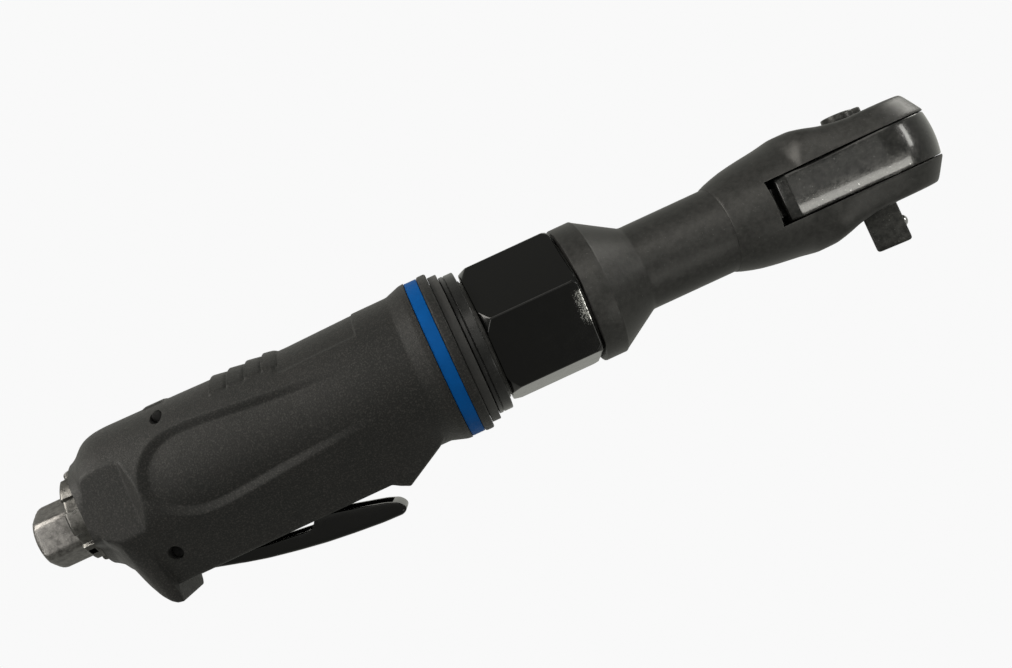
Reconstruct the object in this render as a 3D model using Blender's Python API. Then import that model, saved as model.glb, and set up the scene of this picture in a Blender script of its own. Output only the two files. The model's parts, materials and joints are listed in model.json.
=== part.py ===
"""Air ratchet: a rear-exhaust, lever-throttle pneumatic ratchet wrench with a 3/8 inch square drive.

World frame: metres, +Z up.  The tool axis runs along X, with the ratchet head at the front (+X).
The origin is the centre of the square drive's end face, with the drive pointing down,
so the tool axis lies DRIVE_REACH above the XY plane.
Every dimension below is in millimetres and is measured from the tool axis (y, z)
and from the drive's turning axis (x).  _REAR and _FRONT name the x of a piece's two ends.
"""

import math

import bmesh
import bpy
import numpy as np
from mathutils import Matrix, Vector
from mathutils.geometry import tessellate_polygon

# ---------------------------------------------------------------- shared dimensions (mm)
METRES_PER_MM = 0.001
DRIVE_REACH = 24.8        # tool axis to the end face of the square drive
GAP = 0.3                 # space left between neighbouring pieces
STEP_LENGTH = 0.001       # length of a square shoulder within a loft

HOUSING_REAR = -236.5
SHOULDER_X = -132.4
SPIGOT_X = -125.7
BORE_R = 18.4             # housing bore
STACK_R = BORE_R - GAP    # everything that slides into it

COLLAR_Z = 1.8            # the exhaust outlet sits a little above the tool axis
COLLAR_CENTRE = (0.0, COLLAR_Z)
LEVER_PIVOT = (-217.6, -17.5)     # x and z
CROSS_PIN = (-208.0, 18.0)        # x and z
VALVE_X = -208.0
VALVE_CENTRE = (VALVE_X, 0.0)
SIDE_HOLES = ((12.2, 4.0), (-12.2, 4.0))    # y and z of two holes shared by housing and end plate

SPINDLE_TURN = -26.0      # rest angle of the drive spindle about Z, degrees

# ---------------------------------------------------------------- scene and materials
for item in list(bpy.data.objects):
    bpy.data.objects.remove(item, do_unlink=True)


def material(name, colour, roughness, metallic):
    made = bpy.data.materials.new(name)
    made.use_nodes = True
    shader = made.node_tree.nodes["Principled BSDF"]
    shader.inputs["Base Color"].default_value = (*colour, 1.0)
    shader.inputs["Roughness"].default_value = roughness
    shader.inputs["Metallic"].default_value = metallic
    return made


COMPOSITE = material("charcoal_composite", colour=(0.018, 0.017, 0.016), roughness=0.62, metallic=0.0)
BLUE = material("blue_polymer", colour=(0.0, 0.10, 0.42), roughness=0.40, metallic=0.0)
RUBBER = material("black_rubber", colour=(0.012, 0.012, 0.012), roughness=0.70, metallic=0.0)
GLOSS = material("gloss_black_paint", colour=(0.006, 0.006, 0.006), roughness=0.18, metallic=0.2)
PHOSPHATE = material("black_oxide_steel", colour=(0.022, 0.022, 0.023), roughness=0.42, metallic=0.85)
GUNMETAL = material("gunmetal_zinc", colour=(0.07, 0.07, 0.075), roughness=0.38, metallic=0.9)
STEEL = material("ground_steel", colour=(0.55, 0.55, 0.56), roughness=0.28, metallic=1.0)
SPRING = material("spring_steel", colour=(0.42, 0.42, 0.43), roughness=0.32, metallic=1.0)
BRASS = material("brass", colour=(0.72, 0.50, 0.20), roughness=0.30, metallic=1.0)
IRON = material("cast_iron", colour=(0.16, 0.16, 0.165), roughness=0.50, metallic=0.9)
FELT = material("grey_felt", colour=(0.20, 0.20, 0.19), roughness=0.95, metallic=0.0)
RESIN = material("vane_resin", colour=(0.16, 0.07, 0.03), roughness=0.60, metallic=0.0)


# ---------------------------------------------------------------- points
def polar(radius, angle, centre=(0.0, 0.0)):
    return (centre[0] + radius * math.cos(angle), centre[1] + radius * math.sin(angle))


def arc(radius, degrees):
    return [polar(radius, math.radians(angle)) for angle in degrees]


def circle(radius, steps, centre=(0.0, 0.0)):
    return [polar(radius, 0.09 + 2 * math.pi * j / steps, centre) for j in range(steps)]


def place(axis, along, first, second):
    """The distance along an axis and the other two coordinates, in order, to xyz."""
    if axis == "X":
        return (along, first, second)
    if axis == "Y":
        return (first, along, second)
    return (first, second, along)


def interpolate(table, x):
    return float(np.interp(x, [row[0] for row in table], [row[1] for row in table]))


# ---------------------------------------------------------------- solids
def solid(points, faces):
    """A mesh object from points in millimetres about the tool axis, with outward faces."""
    mesh = bpy.data.meshes.new("shape")
    mesh.from_pydata([Vector(point) for point in points], [], faces)
    work = bmesh.new()
    work.from_mesh(mesh)
    bmesh.ops.remove_doubles(work, verts=work.verts, dist=1e-5)
    bmesh.ops.recalc_face_normals(work, faces=work.faces)
    work.to_mesh(mesh)
    work.free()
    obj = bpy.data.objects.new("shape", mesh)
    bpy.context.scene.collection.objects.link(obj)
    return obj


def loft(rings):
    """A closed solid through rings of equal point count, capped at both ends."""
    count = len(rings[0])
    points = [point for ring in rings for point in ring]
    faces = []
    for i in range(len(rings) - 1):
        for j in range(count):
            k = (j + 1) % count
            near, far = i * count, (i + 1) * count
            faces.append((near + j, near + k, far + k, far + j))
    faces.append(tuple(range(count)))
    last = (len(rings) - 1) * count
    faces.append(tuple(range(last, last + count)))
    return solid(points, faces)


def revolve(profile, steps, axis="X", centre=(0.0, 0.0)):
    """A closed profile of (along, radius) turned about an axis; radius 0 makes a pole."""
    # facets of nested bores start at different angles, so that no edge of one meets an edge of another
    start = 0.17 + 0.061 * max(radius for _, radius in profile)
    points = [
        place(axis, along, *polar(radius, start + 2 * math.pi * j / steps, centre))
        for along, radius in profile
        for j in range(steps)
    ]
    faces = []
    count = len(profile)
    for i in range(count):
        following = (i + 1) % count
        pole, next_pole = profile[i][1] == 0, profile[following][1] == 0
        if pole and next_pole:
            continue
        near, far = i * steps, following * steps
        for j in range(steps):
            k = (j + 1) % steps
            if pole:
                faces.append((near, far + k, far + j))
            elif next_pole:
                faces.append((near + j, near + k, far))
            else:
                faces.append((near + j, near + k, far + k, far + j))
    used = sorted({i for face in faces for i in face})
    index = {old: new for new, old in enumerate(used)}
    return solid([points[i] for i in used], [tuple(index[i] for i in face) for face in faces])


def tube(low, high, outer, inner, steps, axis="X", centre=(0.0, 0.0), chamfer=0.0):
    profile = [(low, outer), (high, outer)]
    if chamfer:
        profile = [(low, outer - chamfer), (low + chamfer, outer),
                   (high - chamfer, outer), (high, outer - chamfer)]
    return revolve(profile + [(high, inner), (low, inner)], steps, axis, centre)


def rod(low, high, radius, steps, axis="X", centre=(0.0, 0.0)):
    return revolve([(low, 0), (low, radius), (high, radius), (high, 0)], steps, axis, centre)


def prism(outline, low, high, axis, holes=()):
    """A flat outline, with holes, extruded along an axis."""
    loops = [list(outline)] + [list(hole) for hole in holes]
    flat = [point for loop in loops for point in loop]
    fill = tessellate_polygon([[Vector((*point, 0)) for point in loop] for loop in loops])
    count = len(flat)
    points = [place(axis, along, *point) for along in (low, high) for point in flat]
    faces = [tuple(three) for three in fill]
    faces += [tuple(i + count for i in reversed(three)) for three in fill]
    start = 0
    for loop in loops:
        for j in range(len(loop)):
            k = (j + 1) % len(loop)
            faces.append((start + j, start + k, start + k + count, start + j + count))
        start += len(loop)
    return solid(points, faces)


def box(x_range, y_range, z_range):
    (y_low, y_high), (z_low, z_high) = y_range, z_range
    outline = [(y_low, z_low), (y_high, z_low), (y_high, z_high), (y_low, z_high)]
    return prism(outline, *x_range, "X")


def coil(low, high, radius, wire, turns, per_turn, axis, centre=(0.0, 0.0)):
    """A compression spring as a swept four-sided wire; wire is its half thickness."""
    total = int(turns * per_turn)
    rise = high - low - 2 * wire
    rings = []
    for i in range(total + 1):
        part = i / total
        angle = 2 * math.pi * turns * part
        along = low + wire + rise * part
        ring = []
        for j in range(4):
            around = 2 * math.pi * j / 4
            at = polar(radius + wire * math.cos(around), angle, centre)
            ring.append(place(axis, along + wire * math.sin(around), *at))
        rings.append(ring)
    return loft(rings)


def hex_ring(x, half_flat, corner_r, corner_angle, steps, inset=0.0):
    """A hexagon whose corners are turned off by a circle; one corner is at corner_angle."""
    ring = []
    for j in range(steps):
        angle = 2 * math.pi * j / steps + math.radians(corner_angle)
        from_corner = (angle - math.radians(corner_angle) + math.pi / 6) % (math.pi / 3) - math.pi / 6
        flat = half_flat / math.cos(math.pi / 6 - abs(from_corner))
        ring.append((x, *polar(min(flat, corner_r) - inset, angle)))
    return ring


def turned(obj, degrees, axis, lift=0.0):
    """The solid turned about an axis through the origin, then raised."""
    turn = Matrix.Rotation(math.radians(degrees), 4, axis)
    obj.data.transform(Matrix.Translation((0, 0, lift)) @ turn)
    return obj


def combine(target, other, operation):
    """One Boolean, applied at once; the second solid is used up."""
    modifier = target.modifiers.new("cut", "BOOLEAN")
    modifier.operation = operation
    modifier.solver = "EXACT"
    modifier.object = other
    graph = bpy.context.evaluated_depsgraph_get()
    done = bpy.data.meshes.new_from_object(target.evaluated_get(graph))
    target.modifiers.clear()
    work = bmesh.new()
    work.from_mesh(done)
    bmesh.ops.remove_doubles(work, verts=work.verts, dist=1e-4)
    bmesh.ops.dissolve_degenerate(work, edges=work.edges, dist=1e-4)
    work.to_mesh(done)
    work.free()
    target.data = done
    bpy.data.objects.remove(other, do_unlink=True)


def cut(target, *others):
    for other in others:
        combine(target, other, "DIFFERENCE")


def join(target, *others):
    for other in others:
        combine(target, other, "UNION")


def finish(name, obj, surface, origin=(0.0, 0.0, 0.0), turn=0.0):
    """Names the solid, moves its origin to a joint or seat, and scales it to metres."""
    rotation = Matrix.Rotation(math.radians(turn), 4, "Z")
    at = Vector(origin)
    for vertex in obj.data.vertices:
        vertex.co = (rotation @ vertex.co - at) * METRES_PER_MM
    obj.location = (at + Vector((0.0, 0.0, DRIVE_REACH))) * METRES_PER_MM
    obj.name = name
    obj.data.name = name
    obj.data.materials.clear()
    obj.data.materials.append(surface)
    obj.data.shade_smooth()
    obj.data.set_sharp_from_angle(angle=math.radians(32))


# ---------------------------------------------------------------- motor housing
# x, radius of the round body
BODY_RADIUS = [
    (HOUSING_REAR, 16.9), (-235.4, 18.8), (-233.8, 20.5), (-231.9, 21.7), (-229.0, 22.4), (-226.0, 22.6),
    (-205.0, 22.4), (-170.0, 21.8), (-150.0, 22.3), (-139.0, 22.3), (-135.5, 23.0), (SHOULDER_X, 23.9),
]
# x, depth of the keel's floor below the tool axis
KEEL_DEPTH = [
    (HOUSING_REAR, 10.0), (-235.3, 12.5), (-233.0, 19.0), (-230.3, 25.4), (-227.5, 28.7), (-224.8, 30.4),
    (-223.0, 31.0), (-222.9, 26.2), (-158.0, 26.0), (-156.0, 27.2), (-153.0, 28.5), (-141.6, 22.0),
    (SHOULDER_X, 15.0),
]
HOUSING_STATIONS = [
    HOUSING_REAR, -235.4, -233.8, -231.9, -229.0, -226.0, -223.0, -222.9, -196.0, -170.0,
    -158.0, -156.0, -153.0, -141.6, -139.0, -135.5, SHOULDER_X,
]
HOUSING_STEPS = 32
KEEL_HALF = 9.8
SHALLOWEST_CORNER = 21.5  # least depth used to aim the facet edges at the keel's corners
SPIGOT_R = 20.3
REAR_PLAN_R = 60.0        # the housing's rear end is rounded in plan
LEVER_SLOT_HALF = 6.6
# x, z of the lever slot seen from the side
LEVER_SLOT = [(-222.6, -34.0), (-154.2, -34.0), (-154.2, -20.6),
              (-200.0, -20.6), (-200.0, -12.5), (-222.6, -12.5)]


def hanging(x, reach, around):
    """A point on a section; the angle starts from straight down."""
    return (x, reach * math.sin(around), -reach * math.cos(around))


def housing_ring(x):
    radius = interpolate(BODY_RADIUS, x)
    depth = interpolate(KEEL_DEPTH, x)
    corner, edge = math.atan2(KEEL_HALF, depth), math.hypot(KEEL_HALF, depth)
    ring = []
    for j in range(HOUSING_STEPS):
        around = 2 * math.pi * j / HOUSING_STEPS
        if j in (2, HOUSING_STEPS - 2):
            # one facet edge runs along each lower corner of the keel
            around = math.atan2(KEEL_HALF, max(depth, SHALLOWEST_CORNER)) * (1 if j == 2 else -1)
        # the keel's flat floor, then a flat side that leaves the round body at its tangent point
        tilt = abs(math.atan2(math.sin(around), math.cos(around)))
        reach = radius
        if edge > radius:
            tangent = corner + math.acos(radius / edge)
            if tilt < corner:
                reach = max(radius, depth / math.cos(tilt))
            elif tilt < tangent:
                reach = radius / math.cos(tangent - tilt)
        ring.append(hanging(x, reach, around))
    return ring


def spigot_ring(x):
    return [hanging(x, SPIGOT_R, 2 * math.pi * j / HOUSING_STEPS) for j in range(HOUSING_STEPS)]


def motor_housing():
    rings = [housing_ring(x) for x in HOUSING_STATIONS]
    rings += [spigot_ring(x) for x in (SHOULDER_X + STEP_LENGTH, SPIGOT_X)]
    housing = loft(rings)
    waste = box((HOUSING_REAR - 20.0, HOUSING_REAR + 20.0), (-40.0, 40.0), (-50.0, 50.0))
    cut(waste, prism(circle(REAR_PLAN_R, 72, (HOUSING_REAR + REAR_PLAN_R, 0.0)), -60.0, 60.0, "Z"))
    cut(housing, waste)
    cut(
        housing,
        rod(-245.0, -235.9, 14.0, 28, "X", COLLAR_CENTRE),
        rod(-199.0, -120.0, BORE_R, 32),
        # the stepped air inlet, from the rear inwards
        rod(-234.6, -231.0, 12.2, 24),
        rod(-232.0, -228.4, 10.2, 20),
        rod(-229.0, -226.5, 8.4, 20),
        rod(-227.0, VALVE_X, 4.4, 16),
        # the upright valve bore
        rod(-14.0, 16.1, 5.3, 20, "Z", VALVE_CENTRE),
    )
    # the hollow boss that carries the exhaust collar
    join(housing, tube(-238.5, -235.2, 12.0, 9.0, 28, centre=COLLAR_CENTRE))
    cut(housing, rod(-245.0, -234.2, 10.3, 24, "X", COLLAR_CENTRE))
    cut(
        housing,
        prism(LEVER_SLOT, -LEVER_SLOT_HALF, LEVER_SLOT_HALF, "Y"),
        rod(-30.0, 30.0, 2.05, 16, "Y", LEVER_PIVOT),
        rod(-30.0, 30.0, 1.8, 14, "Y", CROSS_PIN),
        # from the valve to the motor
        rod(VALVE_X, -198.0, 1.9, 10, "X", (0.0, -10.3)),
        *[rod(-232.0, -198.0, 2.3, 12, "X", hole) for hole in SIDE_HOLES],
    )
    return housing


finish("motor_housing", motor_housing(), COMPOSITE)

# ---------------------------------------------------------------- rings at the front of the handle
SPIGOT_RING_R = 20.6      # bore of the rings around the housing spigot
SLEEVE_RING_R = 18.6      # bore of the rings in front of it
TRIM_FRONT = -128.6
GASKET_FRONT = -123.0

finish("trim_ring", tube(SHOULDER_X + GAP, TRIM_FRONT, 23.7, SPIGOT_RING_R, 32), BLUE)
finish("bumper_ring", tube(TRIM_FRONT + GAP, SPIGOT_X, 24.0, SPIGOT_RING_R, 32, chamfer=0.7), RUBBER)
finish("front_gasket", tube(SPIGOT_X + GAP, GASKET_FRONT, 22.5, SLEEVE_RING_R, 28), RUBBER)
finish("lock_ring", tube(GASKET_FRONT + GAP, -118.4, 21.3, SLEEVE_RING_R, 28), GLOSS)

# ---------------------------------------------------------------- clamp nut
NUT_REAR, NUT_FRONT = -117.3, -89.9
NUT_FLATS, NUT_R = 37.0, 20.6
NUT_CORNER = 169.0        # angle of one corner, degrees
HEAD_REAR = -103.9        # rear end of the ratchet head


def clamp_nut():
    # x, radius of the turned corners
    sections = [(NUT_REAR, NUT_R - 1.6), (NUT_REAR + 2.6, NUT_R), (NUT_FRONT - 0.8, NUT_R),
                (NUT_FRONT, NUT_R - 0.6)]
    nut = loft([hex_ring(x, NUT_FLATS / 2, corner_r, NUT_CORNER, 36) for x, corner_r in sections])
    cut(nut, rod(-120.0, HEAD_REAR, 17.8, 32), rod(-105.0, -88.0, 17.4, 32))
    return nut


finish("clamp_nut", clamp_nut(), GLOSS)

# ---------------------------------------------------------------- air inlet
INLET_REAR, INLET_HEX_FRONT, INLET_FRONT = -254.4, -242.1, -227.0
INLET_FLATS, INLET_HEX_R, INLET_TAIL_R = 17.0, 9.3, 8.0
INLET_CORNER = 142.0      # angle of one corner, degrees
WHOLLY_ROUND = 20.0       # half flats so large that only the corner circle is left


def inlet_fitting():
    # x, half across flats, corner radius, inset
    sections = [
        (INLET_REAR, INLET_FLATS / 2, INLET_HEX_R, 0.7),
        (INLET_REAR + 0.9, INLET_FLATS / 2, INLET_HEX_R, 0.0),
        (INLET_HEX_FRONT, INLET_FLATS / 2, INLET_HEX_R, 0.0),
        (INLET_HEX_FRONT + STEP_LENGTH, WHOLLY_ROUND, INLET_TAIL_R, 0.0),
        (INLET_FRONT, WHOLLY_ROUND, INLET_TAIL_R, 0.0),
    ]
    inlet = loft([
        hex_ring(x, half_flat, corner_r, INLET_CORNER, 24, inset)
        for x, half_flat, corner_r, inset in sections
    ])
    cut(inlet, rod(-257.0, -240.6, 5.7, 20), rod(-241.0, -226.0, 4.3, 16))
    return inlet


def inlet_screen():
    # six holes around a middle one that lies a hair off centre
    centres = circle(0.01, 1) + circle(3.1, 6)
    return prism(circle(5.3, 20), -241.6, -240.9, "X", [circle(0.8, 5, at) for at in centres])


def inlet_oring():
    section = [polar(0.75, 2 * math.pi * k / 8, (-229.65, 9.15)) for k in range(8)]
    return revolve(section, 20)


finish("inlet_fitting", inlet_fitting(), GUNMETAL)
finish("inlet_screen", inlet_screen(), BRASS)
finish("inlet_oring", inlet_oring(), RUBBER)

# ---------------------------------------------------------------- exhaust
COLLAR_REAR, COLLAR_FRONT, COLLAR_R = -241.8, -236.9, 13.9
COLLAR_CHAMFER = 0.7
COLLAR_STEPS = 48
LOBE_PITCH, LOBE_HALF, LOBE_ANGLE = 45.0, 14.2, 183.0     # degrees
LOBE_HEIGHT = 1.0
SLIT_ANGLES = (225.0, 247.5, 270.0, 292.5, 315.0)         # degrees about X from +Y


def collar_ring(x, drop):
    ring = []
    for j in range(COLLAR_STEPS):
        around = 360.0 * j / COLLAR_STEPS
        from_lobe = abs((around - LOBE_ANGLE + LOBE_PITCH / 2) % LOBE_PITCH - LOBE_PITCH / 2)
        reach = (COLLAR_R if from_lobe < LOBE_HALF else COLLAR_R - LOBE_HEIGHT) - drop
        ring.append((x, *polar(reach, math.radians(around), COLLAR_CENTRE)))
    return ring


def exhaust_collar():
    collar = loft([
        collar_ring(COLLAR_REAR, COLLAR_CHAMFER),
        collar_ring(COLLAR_REAR + COLLAR_CHAMFER, 0.0),
        collar_ring(COLLAR_FRONT, 0.0),
    ])
    cut(collar, rod(-245.0, -234.0, 10.4, 24, "X", COLLAR_CENTRE),
        rod(-239.9, -234.0, 12.35, 24, "X", COLLAR_CENTRE))
    for angle in SLIT_ANGLES:
        cut(collar, turned(box((-240.9, -239.0), (11.0, 18.0), (-1.1, 1.1)), angle, "X", COLLAR_Z))
    return collar


finish("exhaust_collar", exhaust_collar(), GUNMETAL, (COLLAR_REAR, 0.0, COLLAR_Z))
finish("collar_snap_ring", tube(-236.6, -236.2, 13.6, 12.4, 28, centre=COLLAR_CENTRE), STEEL)
finish("muffler", tube(-234.2, -231.4, 11.8, 8.4, 20), FELT)

# ---------------------------------------------------------------- throttle lever and its pins
LEVER_HALF = 5.6
LEVER_WALL = 1.6
CHANNEL_HALF, CHANNEL_REAR, CHANNEL_FRONT, CHANNEL_TOP = 4.2, -211.5, -160.5, -12.0
# x, z along the lever's underside, from the rear
LEVER_LOW = [
    (-219.5, -23.8), (-215.4, -26.2), (-207.0, -28.5), (-198.6, -30.6), (-190.2, -32.2), (-181.8, -33.5),
    (-173.4, -34.4), (-165.0, -35.1), (-159.4, -35.2),
]
# x, z of the whole side view: rear, underside, tip, top and round the pivot
LEVER_SIDE = [(-221.8, -17.5), (-221.2, -20.5)] + LEVER_LOW + [
    (-158.3, -34.6), (-157.6, -33.4), (-158.6, -32.0), (-162.3, -30.1), (-173.4, -27.2), (-185.0, -25.2),
    (-197.0, -23.6), (-204.0, -21.6), (-212.0, -18.6), (-213.7, -15.9), (-215.3, -14.1), (-217.6, -13.3),
    (-219.9, -14.1), (-221.3, -15.6),
]


def throttle_lever():
    lever = prism(LEVER_SIDE, -LEVER_HALF, LEVER_HALF, "Y")
    # the lever is a channel, open at the top
    channel = [(CHANNEL_REAR, CHANNEL_TOP), (CHANNEL_REAR, interpolate(LEVER_LOW, CHANNEL_REAR) + LEVER_WALL)]
    channel += [(x, z + LEVER_WALL) for x, z in LEVER_LOW if CHANNEL_REAR < x < CHANNEL_FRONT]
    channel += [(CHANNEL_FRONT, -33.4), (CHANNEL_FRONT, CHANNEL_TOP)]
    cut(lever, prism(channel, -CHANNEL_HALF, CHANNEL_HALF, "Y"), rod(-10.0, 10.0, 2.05, 20, "Y", LEVER_PIVOT))
    return lever


def sideways_pin(name, half_length, radius, steps, at):
    pin = rod(-half_length, half_length, radius, steps, "Y", at)
    finish(name, pin, STEEL, (at[0], 0.0, at[1]))


finish("throttle_lever", throttle_lever(), GLOSS, (LEVER_PIVOT[0], 0.0, LEVER_PIVOT[1]))
sideways_pin("lever_pin", 12.6, 1.85, 20, LEVER_PIVOT)
sideways_pin("valve_cross_pin", 12.2, 1.6, 16, CROSS_PIN)

# ---------------------------------------------------------------- throttle valve
PLUG_BOTTOM, STEM_HEAD_BOTTOM, SEAT_BOTTOM = 9.4, -4.5, -12.1
STEM_R, STEM_HEAD_R = 1.4, 3.9
# z, radius
STEM_PROFILE = [(-26.0, 0), (-26.0, 1.0), (-25.6, STEM_R), (STEM_HEAD_BOTTOM, STEM_R),
                (STEM_HEAD_BOTTOM, STEM_HEAD_R), (-2.6, STEM_HEAD_R), (-2.6, 0)]
SEAT_PROFILE = [(SEAT_BOTTOM, 4.9), (-5.0, 4.9), (-5.0, 2.8), (-10.9, 2.8), (-11.2, 1.55), (SEAT_BOTTOM, 1.55)]


def valve_seat():
    seat = revolve(SEAT_PROFILE, 16, "Z", VALVE_CENTRE)
    # the window towards the motor
    cut(seat, box((VALVE_X + 1.9, VALVE_X + 6.0), (-1.6, 1.6), (-10.8, -8.6)))
    return seat


valve_spring = coil(-2.2, 9.1, radius=3.2, wire=0.45, turns=5, per_turn=8, axis="Z", centre=VALVE_CENTRE)
finish("valve_plug", rod(PLUG_BOTTOM, 15.7, 4.9, 18, "Z", VALVE_CENTRE), BRASS, (VALVE_X, 0, PLUG_BOTTOM))
finish("valve_spring", valve_spring, SPRING, (VALVE_X, 0, 0))
finish("valve_stem", revolve(STEM_PROFILE, 20, "Z", VALVE_CENTRE), STEEL, (VALVE_X, 0, STEM_HEAD_BOTTOM))
finish("valve_seat", valve_seat(), BRASS, (VALVE_X, 0, SEAT_BOTTOM))

# ---------------------------------------------------------------- vane motor
REAR_PLATE_FRONT = -190.7
CYLINDER_REAR, CYLINDER_FRONT = REAR_PLATE_FRONT + GAP, -152.4
MOTOR_X = (CYLINDER_REAR + CYLINDER_FRONT) / 2
MOTOR_ORIGIN = (MOTOR_X, 0, 0)
ROTOR_REAR, ROTOR_FRONT = CYLINDER_REAR + GAP, -152.8
FRONT_PLATE_FRONT = -143.9
CYLINDER_BORE_R, BORE_OFFSET = 14.6, 1.6
PORT_REARS, PORT_LENGTH = (-183.0, -172.5, -162.0), 4.0
DOWEL = (0.0, -15.6)      # y and z
DOWEL_R, DOWEL_HOLE_R = 1.1, 1.3
ROTOR_R = 12.6
VANES = 5
VANE_PITCH = 360 // VANES     # degrees
VANE_SLOT_FLOOR = 6.4         # distance from the axis
VANE_SLOT_HALF, VANE_HALF = 0.9, 0.7
BODY_ARC_STEPS = 6            # facets of the rotor between two slots


def rear_end_plate():
    plate = tube(-198.7, REAR_PLATE_FRONT, STACK_R, 3.4, 32)
    cut(plate, rod(-200.0, -193.5, 8.15, 20), rod(-200, -189, DOWEL_HOLE_R, 10, "X", DOWEL),
        rod(-200, -189, 1.6, 10, "X", (0.0, -10.6)),
        *[rod(-200, -189, 2.2, 12, "X", hole) for hole in SIDE_HOLES])
    return plate


def bearing(name, rear, front, outer, inner):
    """A ball bearing as one closed unit, with a shield set back from both races at the front."""
    wall = outer - inner
    shield_x = front - 0.4
    profile = [
        (rear, outer), (front, outer), (front, outer - 0.28 * wall), (shield_x, outer - 0.32 * wall),
        (shield_x, inner + 0.32 * wall), (front, inner + 0.28 * wall), (front, inner), (rear, inner),
    ]
    finish(name, revolve(profile, 16), STEEL)


def cylinder():
    holes = [circle(CYLINDER_BORE_R, 32, (0.0, BORE_OFFSET)), circle(DOWEL_HOLE_R, 10, DOWEL)]
    body = prism(circle(STACK_R, 32), CYLINDER_REAR, CYLINDER_FRONT, "X", holes)
    for x in PORT_REARS:
        cut(body, box((x, x + PORT_LENGTH), (-3.0, 3.0), (10.0, 20.0)))
    return body


def vane(degrees):
    blade = box((ROTOR_REAR, ROTOR_FRONT), (6.7, 12.85), (-VANE_HALF, VANE_HALF))
    return turned(blade, degrees, "X")


def rotor_outline():
    """The slotted rotor section."""
    half = math.asin(VANE_SLOT_HALF / ROTOR_R)
    outline = []
    for k in range(VANES):
        middle = math.radians(90 + VANE_PITCH * k)
        out_y, out_z = polar(1.0, middle)
        outline.append(polar(ROTOR_R, middle - half))
        for side in (-VANE_SLOT_HALF, VANE_SLOT_HALF):
            outline.append((VANE_SLOT_FLOOR * out_y - side * out_z, VANE_SLOT_FLOOR * out_z + side * out_y))
        outline.append(polar(ROTOR_R, middle + half))
        for step in range(1, BODY_ARC_STEPS):
            sweep = (math.radians(VANE_PITCH) - 2 * half) * step / BODY_ARC_STEPS
            outline.append(polar(ROTOR_R, middle + half + sweep))
    return outline


def front_end_plate():
    plate = tube(CYLINDER_FRONT + GAP, FRONT_PLATE_FRONT, STACK_R, 5.2, 32)
    cut(plate, rod(-150.2, -142.0, 11.15, 24), rod(-153.0, -149.4, DOWEL_HOLE_R, 10, "X", DOWEL))
    return plate


finish("rear_end_plate", rear_end_plate(), IRON)
bearing("rear_bearing", -198.4, -193.8, 7.95, 3.02)
finish("cylinder", cylinder(), IRON, MOTOR_ORIGIN)
finish("cylinder_dowel", rod(-196.0, -149.8, DOWEL_R, 8, "X", DOWEL), STEEL, (MOTOR_X, *DOWEL))
for k in range(VANES):
    finish(f"vane_{k + 1}", vane(90 + VANE_PITCH * k), RESIN, MOTOR_ORIGIN)
finish("front_end_plate", front_end_plate(), IRON)
bearing("front_bearing", -149.9, -144.2, 10.9, 4.85)

# ---------------------------------------------------------------- rotor and reduction gearing
MODULE = 0.65
PRESSURE = math.radians(25)
GEAR_SLACK = 0.10         # taken off each tooth's thickness at the pitch circle
SUN_TEETH, PLANET_TEETH, RING_TEETH = 12, 18, 48
CENTRES = MODULE * (SUN_TEETH + PLANET_TEETH) / 2
GEAR_REAR, GEAR_FRONT = -141.6, -133.6
PLANET_CENTRES = [(angle, polar(CENTRES, angle)) for angle in map(math.radians, (90.0, 210.0, 330.0))]
PLANET_PIN_REAR = -142.5
GEAR_WASHER_FRONT = -142.9
# radii at which each tooth flank has a point
SUN_RADII = (3.10, 3.62, 3.92, 4.50)
PLANET_RADII = (5.02, 5.70, 6.38)
RING_RADII = (16.15, 15.10)


def involute(angle):
    return math.tan(angle) - angle


def gear_outline(teeth, radii, internal=False, first=0.0, centre=(0.0, 0.0)):
    """A toothed outline with involute flanks; first is the angle of one tooth's centre."""
    pitch = MODULE * teeth / 2
    base = pitch * math.cos(PRESSURE)
    sign = -1 if internal else 1
    flank = []
    for radius in radii:
        at = math.acos(min(1.0, base / max(radius, base)))
        half = math.pi / (2 * teeth) - sign * GEAR_SLACK / (2 * pitch) + involute(PRESSURE) - involute(at)
        # inside an internal gear the involute bounds the space, not the tooth
        flank.append((radius, math.pi / teeth - half if internal else half))
    points = []
    for tooth in range(teeth):
        middle = first + 2 * math.pi * tooth / teeth
        points += [polar(radius, middle - half, centre) for radius, half in flank]
        points += [polar(radius, middle + half, centre) for radius, half in reversed(flank)]
    return points


def rotor():
    """The slotted body, its two journals and the sun gear."""
    body = prism(rotor_outline(), ROTOR_REAR, ROTOR_FRONT, "X")
    join(body, rod(-198.2, -180.0, 2.93, 16), rod(-160.0, -143.9, 4.72, 20))
    join(body, prism(gear_outline(SUN_TEETH, SUN_RADII), -144.3, GEAR_FRONT - 0.1, "X"))
    return body


def ring_gear():
    sleeve = tube(GEAR_WASHER_FRONT + GAP, -104.8, STACK_R, 16.85, 32)
    # the front end is turned down for the clamp nut's thread
    cut(sleeve, tube(-117.8, -100.0, 25.0, 17.5, 32))
    inner = gear_outline(RING_TEETH, RING_RADII, internal=True)
    join(sleeve, prism(circle(17.4, 32), -142.5, GEAR_FRONT + 0.5, "X", [inner]))
    return sleeve


def planet_gear(angle, centre):
    teeth = gear_outline(PLANET_TEETH, PLANET_RADII, first=angle + math.pi / PLANET_TEETH, centre=centre)
    return prism(teeth, GEAR_REAR, GEAR_FRONT, "X", [circle(1.97, 12, centre)])


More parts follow.
